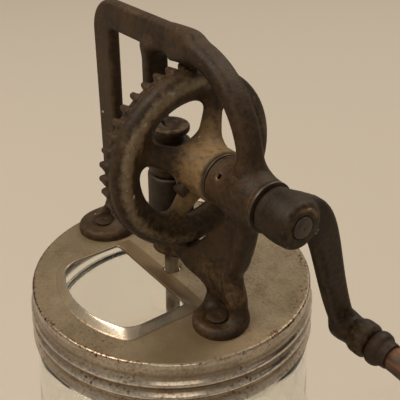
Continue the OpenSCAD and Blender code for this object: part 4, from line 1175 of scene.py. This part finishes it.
# Grip with its spindle, ferrule and washer
# A hardwood grip is turned to a slim neck and a full middle. An iron ferrule caps its neck, and both
# spin on a steel spindle that is riveted in the crank and headed over a washer at the free end.
grip_low, grip_high = node_box("wooden_grip")
spindle_low, spindle_high = node_box("handle_spindle")
grip_mid = (0, (grip_low[1] + grip_high[1]) / 2, (grip_low[2] + grip_high[2]) / 2)
spindle_r, head_r = 2.2, (spindle_high[1] - spindle_low[1]) / 2
inner_head, outer_head = spindle_low[0] + 1, spindle_high[0] - 2
shape = solid_profile([
    (head_r, spindle_low[0]), (head_r, inner_head), (spindle_r, inner_head), (spindle_r, outer_head),
    (head_r, outer_head), (head_r, spindle_high[0])], 0.8)
add_turned("grip_spindle", shape, grip_mid, "x", "crank", "steel", axle_steel, "handle_spindle", around=40)
low, high = node_box("spindle_washer")
shape = ring_profile(spindle_r + running_room, (high[1] - low[1]) / 2, low[0], high[0], 0.3)
add_turned("grip_washer", shape, grip_mid, "x", "crank", "steel", washer_steel, "spindle_washer",
           around=48, ring=True)

grip_bore = spindle_r + bore_room
low, high = node_box("handle_ferrule")
ferrule_r = (high[1] - low[1]) / 2
shape = ease_profile([
    (grip_bore, low[0]), (ferrule_r - 2.4, low[0]), (ferrule_r - 0.4, low[0] + 0.9),
    (ferrule_r, low[0] + 2.8), (ferrule_r - 0.5, low[0] + 4.9), (ferrule_r - 1.7, low[0] + 5.8),
    (ferrule_r - 1.9, high[0] - 0.6), (5.1, high[0]), (grip_bore, high[0])], 1.2)
ferrule_iron = iron_finish("ferrule_iron", 0.7, Dark=srgb(30, 22, 15), Brown=srgb(54, 39, 27))
add_turned("grip_ferrule", shape, grip_mid, "x", "grip", "cast_iron", ferrule_iron, "handle_ferrule",
           ring=True)

# The grip swells by a half cosine from its neck to its full radius, falls by another to its end, and
# is rounded over at both ends.
grip_neck_r, grip_full_r, grip_end_r = 4.9, (grip_high[1] - grip_low[1]) / 2, 7.0
full_at, end_over, neck_over = 0.6, 1.8, 0.6
t = np.linspace(0, 1, 60)
grip_r = np.where(
    t < full_at, grip_neck_r + (grip_full_r - grip_neck_r) * (1 - np.cos(np.pi * t / full_at)) / 2,
    grip_end_r + (grip_full_r - grip_end_r) * (1 + np.cos(np.pi * (t - full_at) / (1 - full_at))) / 2)
grip_r = grip_r - end_over * ramp(t, 0.97, 0.03) ** 2 - neck_over * ramp(t, 0.01, -0.01)
bore_x = np.array([grip_high[0], (grip_low[0] + grip_high[0]) / 2, grip_low[0]])
grip_shape = np.vstack([
    np.column_stack([grip_r, grip_low[0] + (grip_high[0] - grip_low[0]) * t]),
    np.column_stack([np.full(3, grip_bore), bore_x])])

# Wood grain: streaks drawn out along the grain, with dark pores and slow changes of tone.
wood_grain, ends_in, ends_out = new_group(
    "wood_grain",
    [("Along", "Vector", (1.0, 1.0, 1.0)), ("Light", "Color", srgb(106, 69, 39)),
     ("Deep", "Color", srgb(38, 24, 15))],
    [("Color", "Color"), ("Roughness", "Float"), ("Height", "Float")])
drawn = add_stretch(add_place(wood_grain), ends_in.outputs["Along"])
streak = add_noise(drawn, 420.0, 4.0, 0.62)
band = add_noise(drawn, 110.0, 3.0)
pore = add_step(add_noise(drawn, 1300.0, 2.0), 0.62, 0.74, 0.0, 0.7)
pale = add_step(add_sum((streak, 0.6), (band, 0.4)), 0.36, 0.62)
tone = add_mix(pale, ends_in.outputs["Deep"], ends_in.outputs["Light"])
fill(ends_out, Color=add_mix(pore, tone, ends_in.outputs["Deep"]),
     Roughness=add_step(streak, 0.3, 0.7, 0.62, 0.42), Height=streak)
along_x, along_y = (0.07, 1.0, 1.0), (1.0, 0.07, 1.0)
grip_wood = group_finish("grip_wood", wood_grain, 0.5, 0.5, Along=along_x)[0]
add_turned("grip_of_wood", grip_shape, grip_mid, "x", "grip", "grip_wood", grip_wood, "wooden_grip",
           around=96, ring=True)

# Pinion with its pin and washer
# A small iron pinion of ten teeth with a long sleeve is pinned to the dasher shaft under the lug. It
# runs on a steel washer on the guide and meets the crown gear's teeth.
pinion_low, pinion_high = node_box("pinion")
pinion_teeth, pinion_face, pinion_ease = 10, 10.0, 0.25
root_r, tip_r, tooth_in = 6.55, pinion_high[1], 3.0
root_half, tip_half = 1.04, 0.47
sleeve_r, sleeve_sink, sleeve_ease = 9.1, 0.6, 0.8
pinion_bore, pinion_cell = (200, 400), 0.38


def pinion_field(x, y, z):
    """A sleeve over a toothed part; ten teeth folded into one tooth's sector, narrower at the tips."""
    rho, phi = np.hypot(x, y), np.arctan2(y, x)
    sector = 2 * np.pi / pinion_teeth
    fold = phi % sector - sector / 2
    out, off = rho * np.cos(fold), rho * np.sin(fold)
    half = root_half + (tip_half - root_half) * ramp(out, root_r, tip_r - root_r)
    tooth = np.maximum(np.abs(off) - half, np.maximum(out - tip_r, tooth_in - out))
    mid_z = pinion_low[2] + pinion_face / 2
    toothed = plate_field(np.minimum(rho - root_r, tooth), z - mid_z, pinion_face / 2, pinion_ease)
    sleeve_z = (pinion_low[2] + pinion_face - sleeve_sink, pinion_high[2])
    sleeve = rod_field(z, rho, *sleeve_z, sleeve_r, sleeve_ease)
    return drill(np.minimum(toothed, sleeve), z, rho, pinion_bore, shaft_r + running_room)


pinion_iron = iron_finish("pinion_iron", 0.4, Dark=srgb(34, 28, 21), Brown=srgb(58, 49, 36))
points, faces, worn = skin(pinion_field, pinion_low, pinion_high, pinion_cell)
pinion = add_piece("pinion_and_sleeve", points, faces, "dasher", "cast_iron", pinion_iron, "pinion")
set_share(pinion, "worn", 0.4 * worn - 0.35)
low, high = node_box("pinion_pin")
pin_r, pin_z = (high[0] - low[0]) / 2, (low[2] + high[2]) / 2
shape = solid_profile([(pin_r, low[1]), (pin_r, high[1])], 0.5)
add_turned("pinion_cross_pin", shape, (0, 0, pin_z), "y", "dasher", "steel", axle_steel, "pinion_pin",
           around=32)
low, high = node_box("pinion_washer")
shape = ring_profile(shaft_r + running_room, high[0], low[2], high[2], 0.3)
add_turned("pinion_washer_ring", shape, (0, 0, 0), "z", "lid", "steel", washer_steel, "pinion_washer",
           around=56, ring=True)

# Dasher shaft and its fittings
# A steel shaft hangs from the pivot through the lid. Its reduced end carries the paddle boards
# between two washers, held by a square nut.
shaft_steel = steel_finish("shaft_steel", 0.75, Clean=srgb(150, 139, 122), Stained=srgb(96, 84, 67))
board_low, board_high = node_box("paddle_board_a")
end_shaft_r, end_shaft_z = 2.4, board_high[2] + 1.5
end_bore = end_shaft_r + running_room
shape = solid_profile([
    (end_shaft_r, shaft_low[2]), (end_shaft_r, end_shaft_z), (shaft_r, end_shaft_z),
    (shaft_r, shaft_high[2])], 0.6)
add_turned("dasher_shaft_rod", shape, (0, 0, 0), "z", "dasher", "steel", shaft_steel, "dasher_shaft",
           around=48)
for node in ("dasher_washer", "dasher_foot_washer"):
    low, high = node_box(node)
    shape = ring_profile(end_bore, high[0], low[2], high[2], 0.35)
    add_turned(f"{node}_ring", shape, (0, 0, 0), "z", "dasher", "steel", washer_steel, node,
               around=56, ring=True)
nut_low, nut_high = node_box("dasher_nut")
nut_ease, nut_lean, nut_reach, nut_cell = 0.4, 0.55, 1.45, 0.4


def nut_field(x, y, z):
    """A square nut with its corners turned off by a cone from each face, and its bore."""
    block = box_field(x, y, z, nut_low, nut_high, nut_ease)
    off_mid = np.abs(z - (nut_low[2] + nut_high[2]) / 2)
    block = np.maximum(block, np.hypot(x, y) + nut_lean * off_mid - nut_reach * nut_high[0])
    return np.maximum(block, end_bore - np.hypot(x, y))


points, faces, _ = skin(nut_field, nut_low, nut_high, nut_cell)
add_piece("dasher_square_nut", points, faces, "dasher", "steel", washer_steel, "dasher_nut")

# Paddle boards
# Two light hardwood boards on edge are halved into each other across the shaft. Each has two bored
# holes, and churning has worn the edges round.
board_tones = {"Light": srgb(206, 176, 132), "Deep": srgb(150, 116, 76)}
board_half, board_half_t = board_high[0], board_high[1]
board_mid = (board_low[2] + board_high[2]) / 2
board_ease, board_cell = 1.4, 0.9
hole_r, hole_at, hole_round = 8.0, 0.58 * board_half, 1.6
slot_room, slot_past = 0.05, 9.0


def board_field(along, across, z, slot_low, slot_high):
    """A board with worn edges, two round holes, a halving slot and the shaft's bore."""
    board = box_field(along, across, z, (-board_half, -board_half_t, board_low[2]),
                      (board_half, board_half_t, board_high[2]), board_ease)
    board = carve(board, np.hypot(np.abs(along) - hole_at, z - board_mid) - hole_r, hole_round)
    slot = np.maximum(np.abs(along) - board_half_t - slot_room, np.maximum(slot_low - z, z - slot_high))
    return np.maximum(np.maximum(board, -slot), end_bore - np.hypot(along, across))


def board_a_field(x, y, z):
    """The board along the axle, slotted from above."""
    return board_field(x, y, z, board_mid - slot_room, board_high[2] + slot_past)


def board_b_field(x, y, z):
    """The board across the axle, slotted from below."""
    return board_field(y, x, z, board_low[2] - slot_past, board_mid + slot_room)


for name, field, along in (("a", board_a_field, along_x), ("b", board_b_field, along_y)):
    board_wood = group_finish(f"board_wood_{name}", wood_grain, 0.5, 0.4, Along=along, **board_tones)[0]
    low, high = node_box(f"paddle_board_{name}")
    points, faces, _ = skin(field, low, high, board_cell)
    add_piece(
        f"dasher_board_{name}", points, faces, "dasher", "paddle_wood", board_wood, f"paddle_board_{name}")

# Floor
# A plain pale surface under the churn, wide enough to fill the view.
floor_half, floor_z = 6.0, float(cad_low[2])
floor_mesh = bpy.data.meshes.new("floor")
floor_mesh.from_pydata(
    [(-floor_half, -floor_half, floor_z), (floor_half, -floor_half, floor_z),
     (floor_half, floor_half, floor_z), (-floor_half, floor_half, floor_z)], [], [(0, 1, 2, 3)])
floor_paper, tree, shader = new_material("floor_paper")
fill(shader, Base_Color=srgb(168, 161, 152), Roughness=0.9)
floor_mesh.materials.append(floor_paper)
floor = bpy.data.objects.new("floor", floor_mesh)
bpy.context.scene.collection.objects.link(floor)

# Light
# A large soft lamp shines from the front and above, weaker ones from the right and from behind, all
# warm, in a pale room.
scene = bpy.context.scene
scene.view_settings.view_transform = "Standard"
room = bpy.data.worlds.new("room")
room.use_nodes = True
fill(room.node_tree.nodes["Background"], Color=srgb(255, 242, 222), Strength=0.38)
scene.world = room


def add_lamp(name, place, aim, size, power, colour):
    """A square area lamp at place that shines at aim."""
    data = bpy.data.lights.new(name, "AREA")
    data.size = size
    data.energy = power
    data.color = colour
    lamp = bpy.data.objects.new(name, data)
    lamp.location = place
    lamp.rotation_euler = (Vector(aim) - Vector(place)).to_track_quat("-Z", "Y").to_euler()
    scene.collection.objects.link(lamp)


lamp_colour = (1.0, 0.89, 0.74)
churn_middle = (0.0, 0.0, 0.27)
add_lamp("key_lamp", (-0.55, -1.3, 2.7), churn_middle, 1.2, 80.0, lamp_colour)
add_lamp("side_lamp", (2.2, -1.4, 1.6), churn_middle, 1.6, 12.0, lamp_colour)
add_lamp("back_lamp", (-0.3, 1.9, 2.4), churn_middle, 1.0, 38.0, lamp_colour)

# Camera
# It stands to the right of the pouring side and looks down on the gear and the lid.
camera_data = bpy.data.cameras.new("camera")
camera_data.sensor_fit = "HORIZONTAL"
camera_data.sensor_width = 36.0
camera_data.lens = 63.0
camera_data.clip_start = 0.01
camera = bpy.data.objects.new("camera", camera_data)
camera_place = Vector((0.20671, -0.13943, 0.42521))
camera_aim = Vector((0.02004, 0.0, 0.28894))
camera_roll = np.radians(0.263)
toward = (camera_aim - camera_place).to_track_quat("-Z", "Y").to_matrix().to_4x4()
camera.matrix_world = Matrix.Translation(camera_place) @ toward @ Matrix.Rotation(camera_roll, 4, "Z")
scene.collection.objects.link(camera)
scene.camera = camera
